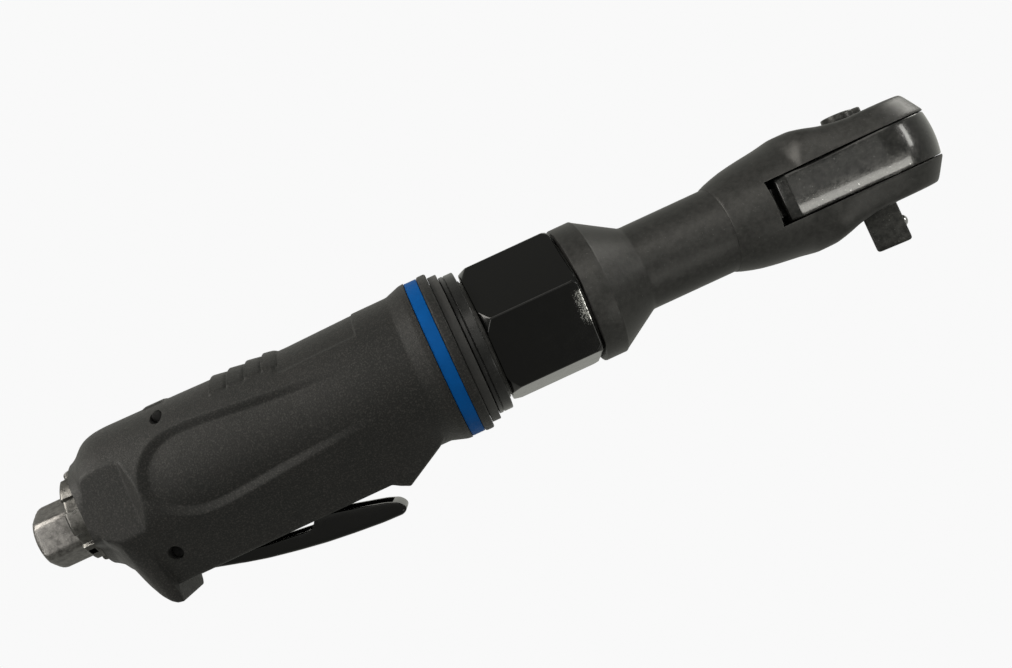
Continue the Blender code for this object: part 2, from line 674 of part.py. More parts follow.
finish("rotor", rotor(), STEEL, MOTOR_ORIGIN)
gear_washer = tube(FRONT_PLATE_FRONT + GAP, GEAR_WASHER_FRONT, STACK_R, 5.2, 28)
finish("gear_thrust_washer", gear_washer, STEEL)
finish("ring_gear", ring_gear(), STEEL)
for k, (angle, centre) in enumerate(PLANET_CENTRES):
    finish(f"planet_gear_{k + 1}", planet_gear(angle, centre), STEEL, (GEAR_REAR, *centre))
    planet_pin = rod(PLANET_PIN_REAR, -128.2, 1.8, 12, "X", centre)
    finish(f"planet_pin_{k + 1}", planet_pin, STEEL, (PLANET_PIN_REAR, *centre))

# ---------------------------------------------------------------- crankshaft
CRANK_REAR, CRANK_FRONT = -133.2, -43.8
CRANK_PIN = (0.0, 2.5)    # y and z; z is the throw
DRIVE_BUSHING_REAR = -43.3
# x, radius
CRANK_PROFILE = [
    (CRANK_REAR, 0), (CRANK_REAR, 14.6), (-127.5, 14.6), (-127.5, 8.5), (-104.0, 8.5), (-104.0, 6.8),
    (-96.4, 6.8), (-96.4, 5.2), (-61.6, 5.2), (-61.6, 5.55), (-49.0, 5.55), (-49.0, 7.4),
    (CRANK_FRONT, 7.4), (CRANK_FRONT, 0),
]


def crankshaft():
    crank = revolve(CRANK_PROFILE, 24)
    join(crank, rod(-46.0, -29.4, 2.35, 14, "X", CRANK_PIN))
    for _, centre in PLANET_CENTRES:
        cut(crank, rod(-134.0, -127.0, 1.92, 12, "X", centre))
    return crank


finish("crankshaft", crankshaft(), STEEL, (CRANK_REAR, 0, 0))
bearing("crank_rear_bearing", -103.6, -96.5, 12.95, 6.95)
finish("crank_front_bushing", tube(-61.0, -49.4, 8.35, 5.68, 24), BRASS)
drive_bushing = tube(DRIVE_BUSHING_REAR, -29.8, 3.4, 2.5, 16, "X", CRANK_PIN)
finish("drive_bushing", drive_bushing, STEEL, (DRIVE_BUSHING_REAR, *CRANK_PIN))

# ---------------------------------------------------------------- ratchet head
SLOT_HALF = 6.6           # clevis slot between the upper and lower ears
SLOT_REAR = -32.2
EAR_R = 20.0              # plan radius of the ears
HEAD_STEPS = 28
NECK_R, FLANGE_R, HEAD_SPIGOT_R = 12.6, 20.2, 17.0
FLANGE_REAR = -89.1
# x, half height
HEAD_HALF_HEIGHT = [
    (-44.0, 12.6), (-43.0, 13.3), (-40.1, 14.3), (-37.3, 15.0), (-34.4, 15.5), (-31.6, 15.9), (-28.7, 16.3),
    (-25.9, 16.7), (-20.7, 17.2), (-18.7, 17.0), (-16.5, 16.0), (-13.5, 14.6), (-11.0, 13.8), (-8.0, 13.3),
    (14.0, 13.3), (16.5, 12.6), (18.5, 10.9), (19.6, 8.6), (19.9, 7.4),
]
# x, half width, up to the drive's axis
HEAD_HALF_WIDTH = [
    (-44.0, 12.6), (-43.0, 13.3), (-40.1, 14.3), (-37.3, 15.0), (-34.4, 15.5), (-31.6, 15.9), (-28.7, 16.3),
    (-25.9, 16.8), (-20.7, 17.8), (-13.0, 19.1), (-6.0, 19.8), (0.0, EAR_R),
]
HEAD_STATIONS = (-44.0, -40.1, -34.4, -25.9, -20.7, -18.7, -16.5, -13.5, -11.0, -8.0, 0.0,
                 8.0, 14.0, 16.5, 18.5, 19.6, 19.9)
# x, radius of the round part behind those stations
NECK_STATIONS = ((HEAD_REAR, HEAD_SPIGOT_R), (FLANGE_REAR, HEAD_SPIGOT_R),
                 (FLANGE_REAR + STEP_LENGTH, FLANGE_R), (-82.4, FLANGE_R), (-70.4, NECK_R))


def head_ring(x):
    """An ellipse at the rear that squares up between x = -22 and x = -8."""
    high = interpolate(HEAD_HALF_HEIGHT, x)
    wide = interpolate(HEAD_HALF_WIDTH, x) if x <= 0 else math.sqrt(max(EAR_R**2 - x * x, 4.0))
    power = 2.0 + 5.0 * min(1.0, max(0.0, (x + 22.0) / 14.0))
    ring = []
    for j in range(HEAD_STEPS):
        angle = 2 * math.pi * j / HEAD_STEPS
        across, up = abs(math.cos(angle) / wide), abs(math.sin(angle) / high)
        ring.append((x, *polar((across**power + up**power) ** (-1 / power), angle)))
    return ring


def neck_ring(x, radius):
    return [(x, *polar(radius, 2 * math.pi * j / HEAD_STEPS)) for j in range(HEAD_STEPS)]


def ratchet_head():
    rings = [neck_ring(x, radius) for x, radius in NECK_STATIONS]
    head = loft(rings + [head_ring(x) for x in HEAD_STATIONS])
    cut(
        head,
        # the crankshaft's stepped bore, then the clearance for the yoke's fork
        rod(-105.0, -96.1, 13.15, 24),
        rod(-97.0, -61.0, 6.5, 16),
        rod(-61.3, -31.0, 8.6, 20),
        box((-38.2, -31.0), (-12.7, 12.7), (-4.6, 4.6)),
        box((SLOT_REAR, 30.0), (-30.0, 30.0), (-SLOT_HALF, SLOT_HALF)),
        # the spindle's holes in the lower and upper ears, and the retaining ring's groove
        rod(-20.0, 0.0, 12.3, 28, "Z"),
        rod(0.0, 20.0, 7.2, 24, "Z"),
        rod(-12.95, -12.05, 13.2, 28, "Z"),
    )
    return head


finish("ratchet_head", ratchet_head(), PHOSPHATE)

# ---------------------------------------------------------------- ratchet yoke
YOKE_TEETH = 36
YOKE_TIP_R, YOKE_ROOT_R = 13.2, 14.3
YOKE_HALF = 6.3           # half thickness
FORK_SLOT_HALF = 7.7
# x, y of the straight-sided rear of the plan
YOKE_REAR = [(-25.2, 14.6), (-27.4, 13.6), (-28.6, 11.4), (-28.6, -11.4), (-27.4, -13.6), (-25.2, -14.6)]


def ratchet_yoke():
    pitch = 2 * math.pi / YOKE_TEETH
    teeth = []
    for k in range(YOKE_TEETH):
        angle = 2 * math.pi * k / YOKE_TEETH
        teeth += [polar(YOKE_TIP_R, angle), polar(YOKE_ROOT_R, angle + 0.5 * pitch)]
    yoke = prism(arc(20.3, range(-105, 106, 15)) + YOKE_REAR, -YOKE_HALF, YOKE_HALF, "Z", [teeth])
    # the fork that straddles the crank's bushing
    join(yoke, box((-36.4, -26.0), (-9.6, 9.6), (-4.2, 4.2)))
    cut(yoke, box((-39.0, -28.2), (-FORK_SLOT_HALF, FORK_SLOT_HALF), (-8.0, 8.0)))
    return yoke


finish("ratchet_yoke", ratchet_yoke(), GLOSS)

# ---------------------------------------------------------------- drive spindle, turned to the rest angle
SQUARE = 9.5              # 3/8 inch square drive
SQUARE_CHAMFER = 0.5
END_TAPER = 0.88
PAWL_PIVOT = (8.5, 0.0)   # x and y before the turn
BALL_R, BALL_OUT = 1.9, 3.8
BALL_AXIS = (0.0, -19.3)  # y and z
# z, radius
SPINDLE_PROFILE = [(-13.6, 0), (-13.6, 6.85), (-10.9, 6.85), (-10.9, 11.7), (6.2, 11.7), (6.2, 6.9),
                   (12.9, 6.9), (12.9, 0)]


def level(outline, z, scale=1.0):
    return [(x * scale, y * scale, z) for x, y in outline]


def drive_spindle():
    spindle = revolve(SPINDLE_PROFILE, 28, "Z")
    half = SQUARE / 2
    soft = half - SQUARE_CHAMFER
    outline = [(half, -soft), (half, soft), (soft, half), (-soft, half), (-half, soft),
               (-half, -soft), (-soft, -half), (soft, -half)]
    join(spindle, loft([level(outline, -DRIVE_REACH, END_TAPER), level(outline, -24.0), level(outline, -12.6)]))
    cut(
        spindle,
        # reversing stem bore, pawl slot, pawl pin hole and ball hole
        rod(-5.0, 14.0, 3.3, 18, "Z"),
        box((2.0, 16.0), (-9.3, 9.3), (-4.5, 4.5)),
        rod(-8.2, 7.0, 1.25, 10, "Z", PAWL_PIVOT),
        rod(-3.0, 8.0, 2.05, 16, "X", BALL_AXIS),
    )
    return spindle


def detent_ball():
    profile = [(BALL_OUT - BALL_R * math.cos(math.pi * k / 8), BALL_R * math.sin(math.pi * k / 8))
               for k in range(9)]
    # both ends are exact poles
    profile = [(along, 0 if radius < 1e-6 else radius) for along, radius in profile]
    return revolve(profile, 14, "X", BALL_AXIS)


finish("drive_spindle", drive_spindle(), PHOSPHATE, turn=SPINDLE_TURN)
finish("detent_ball", detent_ball(), STEEL, turn=SPINDLE_TURN)
detent_spring = coil(-2.8, 0.85, radius=1.3, wire=0.25, turns=3, per_turn=7, axis="X", centre=BALL_AXIS)
finish("detent_spring", detent_spring, SPRING, turn=SPINDLE_TURN)

# ---------------------------------------------------------------- pawl, turned with the spindle
# x, y of the pawl behind its toothed arc
PAWL_BACK = [(8.6, 7.3), (5.2, 3.4), (5.2, -3.4), (8.6, -7.3)]
# x, radius
PLUNGER_PROFILE = [(1.8, 0), (1.8, 1.1), (4.0, 1.1), (4.45, 0.7), (4.6, 0)]

pawl = prism(arc(12.6, range(-36, 37, 6)) + PAWL_BACK, -4.1, 4.1, "Z", [circle(1.35, 10, PAWL_PIVOT)])
finish("pawl", pawl, STEEL, turn=SPINDLE_TURN)
finish("pawl_pin", rod(-8.0, 6.0, 1.12, 8, "Z", PAWL_PIVOT), STEEL, turn=SPINDLE_TURN)
finish("pawl_plunger", revolve(PLUNGER_PROFILE, 10, "X"), STEEL, turn=SPINDLE_TURN)
pawl_spring = coil(-1.5, 1.6, radius=0.75, wire=0.2, turns=3, per_turn=7, axis="X")
finish("pawl_spring", pawl_spring, SPRING, turn=SPINDLE_TURN)

# ---------------------------------------------------------------- reversing lever
# x, y of the pointer on the round cap
REVERSE_POINTER = [(5.4, -2.6), (6.3, -1.5), (6.3, 1.5), (5.4, 2.6)]


def reverse_lever():
    plan = arc(4.7, range(40, 321, 20)) + REVERSE_POINTER
    # the top face slopes down towards the pointer
    top = [(x * END_TAPER, y * END_TAPER, 16.2 - 0.04 * x) for x, y in plan]
    lever = loft([level(plan, 13.6), level(plan, 15.4), top])
    join(lever, rod(-4.7, 14.2, 3.0, 16, "Z"))
    # the hole for the pawl's plunger and spring
    cut(lever, turned(rod(-1.8, 4.0, 1.3, 10, "X"), SPINDLE_TURN, "Z"))
    return lever


finish("reverse_lever", reverse_lever(), PHOSPHATE)

# ---------------------------------------------------------------- spindle washer and retaining ring
RING_OPENING_HALF = 20.0  # degrees either side of the rear


def retaining_ring():
    start, end = 180 + RING_OPENING_HALF, 540 - RING_OPENING_HALF
    outline = arc(12.8, np.linspace(start, end, 19)) + arc(10.9, np.linspace(end, start, 19))
    return prism(outline, -12.85, -12.15, "Z")


finish("thrust_washer", tube(-11.8, -11.2, 11.9, 7.2, 24, "Z"), BRASS)
finish("retaining_ring", retaining_ring(), SPRING)
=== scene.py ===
"""The looks of an air ratchet: fine meshes, materials, studio and camera around its CAD frame.

Shapes are written in millimetres about the tool axis. x runs along the tool, from the air inlet at
the negative end to the ratchet head, whose drive axis is x = 0. z is up: the throttle lever and the
square drive are below. The camera looks along +y. The height of the tool axis is read off the CAD.
"""

import json
import math

import bmesh
import bpy
import numpy as np
from mathutils import Matrix, Vector
from mathutils.geometry import tessellate_polygon


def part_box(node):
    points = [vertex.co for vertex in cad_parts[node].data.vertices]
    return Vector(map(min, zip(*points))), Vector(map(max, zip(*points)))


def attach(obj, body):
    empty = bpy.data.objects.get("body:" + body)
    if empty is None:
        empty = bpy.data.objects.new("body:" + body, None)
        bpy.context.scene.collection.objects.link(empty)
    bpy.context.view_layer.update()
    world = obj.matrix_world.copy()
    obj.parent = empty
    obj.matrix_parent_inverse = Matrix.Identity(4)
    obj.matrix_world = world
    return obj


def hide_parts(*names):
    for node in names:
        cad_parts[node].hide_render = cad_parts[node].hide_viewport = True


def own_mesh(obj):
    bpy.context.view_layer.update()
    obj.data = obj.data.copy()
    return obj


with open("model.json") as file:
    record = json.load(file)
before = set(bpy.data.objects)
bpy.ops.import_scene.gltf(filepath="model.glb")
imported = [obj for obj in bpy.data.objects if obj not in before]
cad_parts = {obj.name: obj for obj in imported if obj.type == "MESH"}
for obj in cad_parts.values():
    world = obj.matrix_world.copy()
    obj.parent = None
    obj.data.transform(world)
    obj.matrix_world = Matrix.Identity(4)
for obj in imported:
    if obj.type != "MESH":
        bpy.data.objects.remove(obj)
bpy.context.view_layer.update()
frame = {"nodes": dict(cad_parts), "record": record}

MM = 0.001


# ------------------------------------------------------------------ datum and shared places
def span(node):
    """x from, x to and outer radius of a turned CAD node, in mm."""
    low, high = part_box(node)
    return low.x / MM, high.x / MM, (high.y - low.y) / 2 / MM


cylinder_low, cylinder_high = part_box("cylinder")
AXIS = (cylinder_low.z + cylinder_high.z) / 2 / MM
BODY_X0, SPIGOT_X, _ = span("motor_housing")

HINGE = (-217.6, -17.5)  # x, z of the lever's hinge pin
HINGE_BORE = 2.05
VALVE_X = -208.0
CROSS_PIN = (VALVE_X, 18.0)  # x, z
EXHAUST_CENTRE = (0.0, 1.8)  # y, z of the collar round the inlet


# ------------------------------------------------------------------ smooth numbers
def step(value, start, end):
    """An eased ramp from 0 at start to 1 at end."""
    part = np.clip((value - start) / (end - start), 0, 1)
    return part * part * (3 - 2 * part)


def smooth_min(first, second, width):
    """The lesser of two values, blended where they are within width of each other."""
    share = np.clip(0.5 + 0.5 * (second - first) / width, 0, 1)
    return second * (1 - share) + first * share - width * share * (1 - share)


def rounded_line(table, sigma):
    """The line through a table of (x, value), with its kinks rounded over about sigma mm."""
    spacing = 0.04
    xs = np.arange(table[0][0] - 8, table[-1][0] + 8, spacing)
    values = np.interp(xs, [row[0] for row in table], [row[1] for row in table])
    reach = int(4 * sigma / spacing)
    kernel = np.exp(-0.5 * (np.arange(-reach, reach + 1) * spacing / sigma) ** 2)
    padded = np.pad(values, reach, mode="edge")
    values = np.convolve(padded, kernel / kernel.sum(), mode="valid")
    return lambda x: np.interp(x, xs, values)


# ------------------------------------------------------------------ mesh helpers
def mesh_object(name, points, faces, smooth=32.0):
    """An object from points in mm about the tool axis; edges above smooth degrees stay sharp."""
    points = np.asarray(points, float).copy()
    points[:, 2] += AXIS
    points *= MM
    mesh = bpy.data.meshes.new(name)
    mesh.from_pydata(points.tolist(), [], [tuple(face) for face in faces])
    bm = bmesh.new()
    bm.from_mesh(mesh)
    bmesh.ops.remove_doubles(bm, verts=bm.verts, dist=1e-7)
    bmesh.ops.recalc_face_normals(bm, faces=bm.faces)
    bm.to_mesh(mesh)
    bm.free()
    obj = bpy.data.objects.new(name, mesh)
    bpy.context.scene.collection.objects.link(obj)
    shade(obj, smooth)
    return obj


def shade(obj, angle=32.0):
    obj.data.shade_smooth()
    obj.data.set_sharp_from_angle(angle=math.radians(angle))


def side_faces(row_count, columns, closed=False):
    """Quads between neighbouring rows, round every row; closed also joins last row to first."""
    i = np.arange(row_count if closed else row_count - 1)[:, None]
    j = np.arange(columns)[None, :]
    after = (j + 1) % columns
    below = (i + 1) % row_count
    corners = [i * columns + j, i * columns + after, below * columns + after, below * columns + j]
    return np.stack(corners, -1).reshape(-1, 4).tolist()


def grid(name, rows, closed=False, smooth=32.0):
    """A solid from rows of points (rows x columns x 3), each closed round.

    Either the rows close on themselves, or both ends get a cap.
    """
    rows = np.asarray(rows, float)
    row_count, columns = rows.shape[:2]
    faces = side_faces(row_count, columns, closed)
    points = rows.reshape(-1, 3)
    if not closed:
        points = np.vstack([points, [rows[0].mean(0), rows[-1].mean(0)]])
        middle = row_count * columns
        last = middle - columns
        for j in range(columns):
            after = (j + 1) % columns
            faces.append([after, j, middle])
            faces.append([last + j, last + after, middle + 1])
    return mesh_object(name, points, faces, smooth)


def along(axis, level, across, up):
    """Points with level along the named axis and the other two coordinates in x, y, z order."""
    if axis == "X":
        return np.stack([level, across, up], -1)
    if axis == "Y":
        return np.stack([across, level, up], -1)
    return np.stack([across, up, level], -1)


def circle_angles(columns):
    return np.linspace(0, 2 * math.pi, columns, endpoint=False)


def polar(level, radius, angles, axis="X", centre=(0.0, 0.0)):
    """Points at a level along an axis and at a radius and angle round it."""
    across = centre[0] + radius * np.cos(angles)
    up = centre[1] + radius * np.sin(angles)
    return along(axis, np.broadcast_to(level, across.shape), across, up)


def rings(profile, angles, axis="X", centre=(0.0, 0.0)):
    """A circular row for every (along, radius) of a profile."""
    profile = np.asarray(profile, float)
    return polar(profile[:, :1], profile[:, 1:], angles, axis, centre)


def revolve(name, profile, steps, axis="X", centre=(0.0, 0.0), closed=False):
    """A profile of (along, radius) turned about an axis; closed makes a ring-shaped solid."""
    return grid(name, rings(profile, circle_angles(steps) + 0.013, axis, centre), closed)


def arc_corner(before, corner, after, radius, parts):
    """Points that round a corner between its two neighbours."""
    before, corner, after = (np.asarray(point, float) for point in (before, corner, after))
    back, on = before - corner, after - corner
    back_length, on_length = np.linalg.norm(back), np.linalg.norm(on)
    back, on = back / back_length, on / on_length
    half = math.acos(float(np.clip(back @ on, -1, 1))) / 2
    if radius <= 0 or half > 1.55:
        return [tuple(corner)]
    cut_back = min(radius / math.tan(half), 0.48 * back_length, 0.48 * on_length)
    start, end = corner + back * cut_back, corner + on * cut_back
    points = []
    for k in range(parts + 1):
        part = k / parts
        points.append(
            tuple((1 - part) ** 2 * start + 2 * part * (1 - part) * corner + part * part * end))
    return points


def rounded(outline, radii, parts=4):
    """A closed outline with each corner rounded by its radius."""
    count = len(outline)
    if isinstance(radii, (int, float)):
        radii = [radii] * count
    points = []
    for k in range(count):
        points += arc_corner(outline[k - 1], outline[k], outline[(k + 1) % count], radii[k], parts)
    return points


def close_arc(arc, corners, radii, parts):
    """An arc closed by a run of rounded corners, without repeating the arc's ends."""
    run = rounded([arc[-1], *corners, arc[0]], [0, *radii, 0], parts)
    return arc + [point for point in run if point not in (arc[0], arc[-1])]


def dense(outline, spacing):
    """The same closed outline with more points, about spacing apart on its long sides."""
    points = []
    for k in range(len(outline)):
        start = np.asarray(outline[k], float)
        end = np.asarray(outline[(k + 1) % len(outline)], float)
        parts = max(1, int(np.linalg.norm(end - start) / spacing))
        points += [tuple(start + (end - start) * i / parts) for i in range(parts)]
    return points


def inset(outline, distance):
    """The outline moved inwards; outline runs anticlockwise."""
    points = np.asarray(outline, float)

    def unit(vectors):
        return vectors / np.maximum(np.linalg.norm(vectors, axis=1, keepdims=True), 1e-9)

    coming = unit(points - np.roll(points, 1, 0))
    going = unit(np.roll(points, -1, 0) - points)
    normal_in = np.stack([-coming[:, 1], coming[:, 0]], -1)
    normal_out = np.stack([-going[:, 1], going[:, 0]], -1)
    normal = unit(normal_in + normal_out)
    scale = 1 / np.maximum((normal * normal_in).sum(1, keepdims=True), 0.5)
    return points + normal * scale * distance


def anticlockwise(outline):
    points = np.asarray(outline, float)
    after = np.roll(points, -1, 0)
    area = (points[:, 0] * after[:, 1] - after[:, 0] * points[:, 1]).sum()
    return [tuple(point) for point in (points if area > 0 else points[::-1])]


def fill(outline):
    """Triangles, as corner numbers, that fill an outline."""
    return tessellate_polygon([[Vector((point[0], point[1], 0)) for point in outline]])


def slab(name, outline, low, high, edge, edge_low=None, crown=0.0, smooth=34):
    """An (x, y) outline raised from z low to high with rounded rims.

    crown makes its wall bulge at half height.
    """
    outline = anticlockwise(outline)
    edge_low = edge if edge_low is None else edge_low
    parts = 4
    sweep = [math.pi / 2 * k / parts for k in range(parts + 1)]
    # (z, inset) of each row
    levels = [(low + edge_low * (1 - math.cos(turn)), edge_low * (1 - math.sin(turn)))
              for turn in sweep]
    levels += [(high - edge * (1 - math.cos(turn)), edge * (1 - math.sin(turn)))
               for turn in reversed(sweep)]
    if crown:
        wall = [(low + (high - low) * part, 0.0) for part in np.linspace(0.08, 0.92, 15)]
        levels[parts + 1:parts + 1] = wall
        levels = [(z, distance + crown * ((2 * z - low - high) / (high - low)) ** 2)
                  for z, distance in levels]
    rows = []
    for z, distance in levels:
        points = inset(outline, distance)
        rows.append(along("Z", np.full(len(points), z), points[:, 0], points[:, 1]))
    rows = np.asarray(rows)
    row_count, columns = rows.shape[:2]
    faces = side_faces(row_count, columns)
    for i, rim in ((0, edge_low), (row_count - 1, edge)):
        for triangle in fill(inset(outline, crown + rim)):
            faces.append(tuple(i * columns + corner for corner in triangle))
    return mesh_object(name, rows.reshape(-1, 3), faces, smooth)


def prism(outline, low, high, axis="X"):
    """An outline extruded along an axis; it is in the other two coordinates."""
    flat = np.asarray(outline, float)
    count = len(flat)
    points = np.vstack([along(axis, np.full(count, level), flat[:, 0], flat[:, 1])
                        for level in (low, high)])
    triangles = fill(outline)
    faces = [tuple(triangle) for triangle in triangles]
    faces += [tuple(i + count for i in reversed(triangle)) for triangle in triangles]
    return mesh_object("shape", points, faces + side_faces(2, count))


def box(x0, x1, y0, y1, z0, z1):
    return prism([(y0, z0), (y1, z0), (y1, z1), (y0, z1)], x0, x1)


def rod(start, end, radius, steps=48, axis="X", centre=(0.0, 0.0)):
    """A round bar. Its facets start at an angle set by its radius, so that nested bores share
    no edge line."""
    angles = 0.17 + 0.061 * radius + 2 * math.pi * np.arange(steps) / steps
    outline = [(centre[0] + radius * math.cos(angle), centre[1] + radius * math.sin(angle))
               for angle in angles]
    return prism(outline, start, end, axis)


def combine(target, other, operation):
    """Applies a boolean with another object, which is used up."""
    modifier = target.modifiers.new("cut", "BOOLEAN")
    modifier.operation = operation
    modifier.solver = "EXACT"
    modifier.object = other
    graph = bpy.context.evaluated_depsgraph_get()
    done = bpy.data.meshes.new_from_object(target.evaluated_get(graph))
    target.modifiers.clear()
    bm = bmesh.new()
    bm.from_mesh(done)
    bmesh.ops.remove_doubles(bm, verts=bm.verts, dist=1e-7)
    bmesh.ops.dissolve_degenerate(bm, edges=bm.edges, dist=1e-7)
    bm.to_mesh(done)
    bm.free()
    old = target.data
    target.data = done
    done.name = old.name
    bpy.data.meshes.remove(old)
    bpy.data.objects.remove(other, do_unlink=True)


def cut(target, *cutters, smooth):
    """All the cutters are joined first, so that the fine mesh is cut once."""
    tool = cutters[0]
    for other in cutters[1:]:
        combine(tool, other, "UNION")
    combine(target, tool, "DIFFERENCE")
    shade(target, smooth)


def place(piece, body, finish, node):
    """Gives a finished piece its material and body, and hides the CAD node that it stands for."""
    piece.data.materials.clear()
    piece.data.materials.append(finish)
    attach(piece, body)
    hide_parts(node)
    return piece


# ------------------------------------------------------------------ shader helpers
def rgba(colour):
    return (*colour, 1.0)


def add_node(tree, kind, inputs=None, **settings):
    """A new node; each input is a plain value or the output that is linked to it."""
    node = tree.nodes.new(kind)
    for key, value in settings.items():
        setattr(node, key, value)
    for key, value in (inputs or {}).items():
        if isinstance(value, bpy.types.NodeSocket):
            tree.links.new(value, node.inputs[key])
        else:
            node.inputs[key].default_value = value
    return node


def map_range(tree, source, over, to=(0.0, 1.0)):
    """Maps the range over linearly onto the range to, and clamps."""
    return add_node(tree, "ShaderNodeMapRange", {
        "From Min": over[0], "From Max": over[1], "To Min": to[0], "To Max": to[1],
        "Value": source}).outputs["Result"]


class Shading:
    """A new material and short ways to add nodes to it. Noise is in object coordinates (m)."""

    def __init__(self, name):
        self.material = bpy.data.materials.new(name)
        self.material.use_nodes = True
        self.tree = self.material.node_tree
        self.shader = self.tree.nodes["Principled BSDF"]
        self.place = self.add("ShaderNodeTexCoord").outputs["Object"]

    def add(self, kind, inputs=None, **settings):
        return add_node(self.tree, kind, inputs, **settings)

    def noise(self, scale, detail, rough=0.55, stretch=None):
        source = self.place
        if stretch:
            mapping = self.add("ShaderNodeMapping", {"Scale": stretch, "Vector": source})
            source = mapping.outputs["Vector"]
        return self.add("ShaderNodeTexNoise", {
            "Scale": scale, "Detail": detail, "Roughness": rough, "Vector": source}).outputs["Fac"]

    def ramp(self, source, over, to=(0.0, 1.0)):
        return map_range(self.tree, source, over, to)

    def math(self, operation, first, second):
        inputs = {0: first, 1: second}
        return self.add("ShaderNodeMath", inputs, operation=operation).outputs[0]

    def times(self, first, second):
        return self.math("MULTIPLY", first, second)

    def mix(self, factor, first, second):
        """second is a colour; first is a colour or a link. 6, 7 and 2 are the colour sockets."""
        first = rgba(first) if isinstance(first, tuple) else first
        inputs = {0: factor, 6: first, 7: rgba(second)}
        return self.add("ShaderNodeMix", inputs, data_type="RGBA").outputs[2]

    def edges(self, radius):
        """About 1 on the piece's rounded outer edges and 0 on its flats."""
        bevel = self.add("ShaderNodeBevel", {"Radius": radius * MM}, samples=6)
        geometry = self.add("ShaderNodeNewGeometry")
        normals = {0: bevel.outputs["Normal"], 1: geometry.outputs["Normal"]}
        dot = self.add("ShaderNodeVectorMath", normals, operation="DOT_PRODUCT")
        return self.ramp(dot.outputs["Value"], over=(0.985, 0.86))

    def bump(self, height, distance, strength, under=None):
        """distance is in mm; under is the normal that this one is laid over."""
        inputs = {"Strength": strength, "Distance": distance * MM, "Height": height}
        if under is not None:
            inputs["Normal"] = under
        return self.add("ShaderNodeBump", inputs).outputs["Normal"]

    def put(self, name, value):
        if isinstance(value, bpy.types.NodeSocket):
            self.tree.links.new(value, self.shader.inputs[name])
        else:
            self.shader.inputs[name].default_value = value


# ------------------------------------------------------------------ materials
def composite():
    """Fine-grained soft-touch moulding: charcoal, slightly warm where it is lit."""
    look = Shading("charcoal_composite")
    patches = look.noise(scale=90, detail=4)
    grain = look.noise(scale=2300, detail=2, rough=0.65)
    fine = look.noise(scale=4200, detail=1, rough=0.5)
    base = look.mix(look.ramp(patches, over=(0.35, 0.65)),
                    (0.0056, 0.0058, 0.0053), (0.0084, 0.0078, 0.0072))
    pits = look.ramp(fine, over=(0.52, 0.38), to=(0.0, 0.75))
    base = look.mix(pits, base, (0.0018, 0.0019, 0.0018))
    peaks = look.ramp(grain, over=(0.50, 0.70), to=(0.0, 0.90))
    look.put("Base Color", look.mix(peaks, base, (0.034, 0.032, 0.0295)))
    rough = look.noise(scale=700, detail=3)
    look.put("Roughness", look.ramp(rough, over=(0.3, 0.7), to=(0.50, 0.62)))
    look.put("Specular IOR Level", 0.32)
    look.put("Sheen Weight", 0.05)
    look.put("Sheen Roughness", 0.5)
    coarse = look.noise(scale=900, detail=3, rough=0.6)
    normal = look.bump(coarse, distance=0.08, strength=0.50)
    normal = look.bump(grain, distance=0.09, strength=0.90, under=normal)
    look.put("Normal", look.bump(fine, distance=0.06, strength=0.55, under=normal))
    return look.material


def satin_metal(name, dark, light, wear, roughness, edge, metallic, grain,
                brush=None, coat=0.0, rub=0.8, bump=0.03):
    """A finished steel surface: fine mottling, faint machining lines and rubbed edges.

    dark and light mottle the base, and wear is its worn colour. edge is the width of the rubbed
    edges in mm and rub their strength, grain a noise scale, brush a noise stretch, bump in mm.
    """
    look = Shading(name)
    mottled = look.noise(scale=620, detail=4, rough=0.70)
    fine = look.noise(scale=grain, detail=3, rough=0.6)
    base = look.mix(look.ramp(mottled, over=(0.36, 0.66)), dark, light)
    base = look.mix(look.ramp(fine, over=(0.66, 0.74), to=(0.0, 0.5)), base, wear)
    rims = look.edges(edge)
    patchy = look.ramp(look.noise(scale=420, detail=4, rough=0.65),
                       over=(0.36, 0.62), to=(0.15, 1.0))
    rubbed = look.times(look.times(rims, patchy), rub)
    look.put("Base Color", look.mix(rubbed, base, wear))
    rough = look.ramp(mottled, over=(0.3, 0.7), to=(roughness - 0.05, roughness + 0.06))
    look.put("Roughness", look.math("SUBTRACT", rough, look.times(rubbed, 0.08)))
    look.put("Metallic", metallic)
    if coat:
        look.put("Coat Weight", coat)
        look.put("Coat Roughness", 0.06)
    normal = look.bump(fine, distance=bump, strength=0.5)
    if brush:
        lines = look.noise(scale=1.0, detail=4, rough=0.6, stretch=brush)
        normal = look.bump(lines, distance=0.02, strength=0.4, under=normal)
    look.put("Normal", normal)
    return look.material


def plastic(name, dark, light, roughness, grain=1500, bump=0.03, sheen=0.0, specular=0.5):
    look = Shading(name)
    mottle = look.ramp(look.noise(scale=160, detail=4), over=(0.35, 0.65))
    look.put("Base Color", look.mix(mottle, dark, light))
    rough = look.noise(scale=600, detail=3)
    to = (roughness - 0.05, roughness + 0.07)
    look.put("Roughness", look.ramp(rough, over=(0.3, 0.7), to=to))
    look.put("Specular IOR Level", specular)
    if sheen:
        look.put("Sheen Weight", sheen)
    fine = look.noise(scale=grain, detail=3, rough=0.6)
    look.put("Normal", look.bump(fine, distance=bump, strength=0.5))
    return look.material


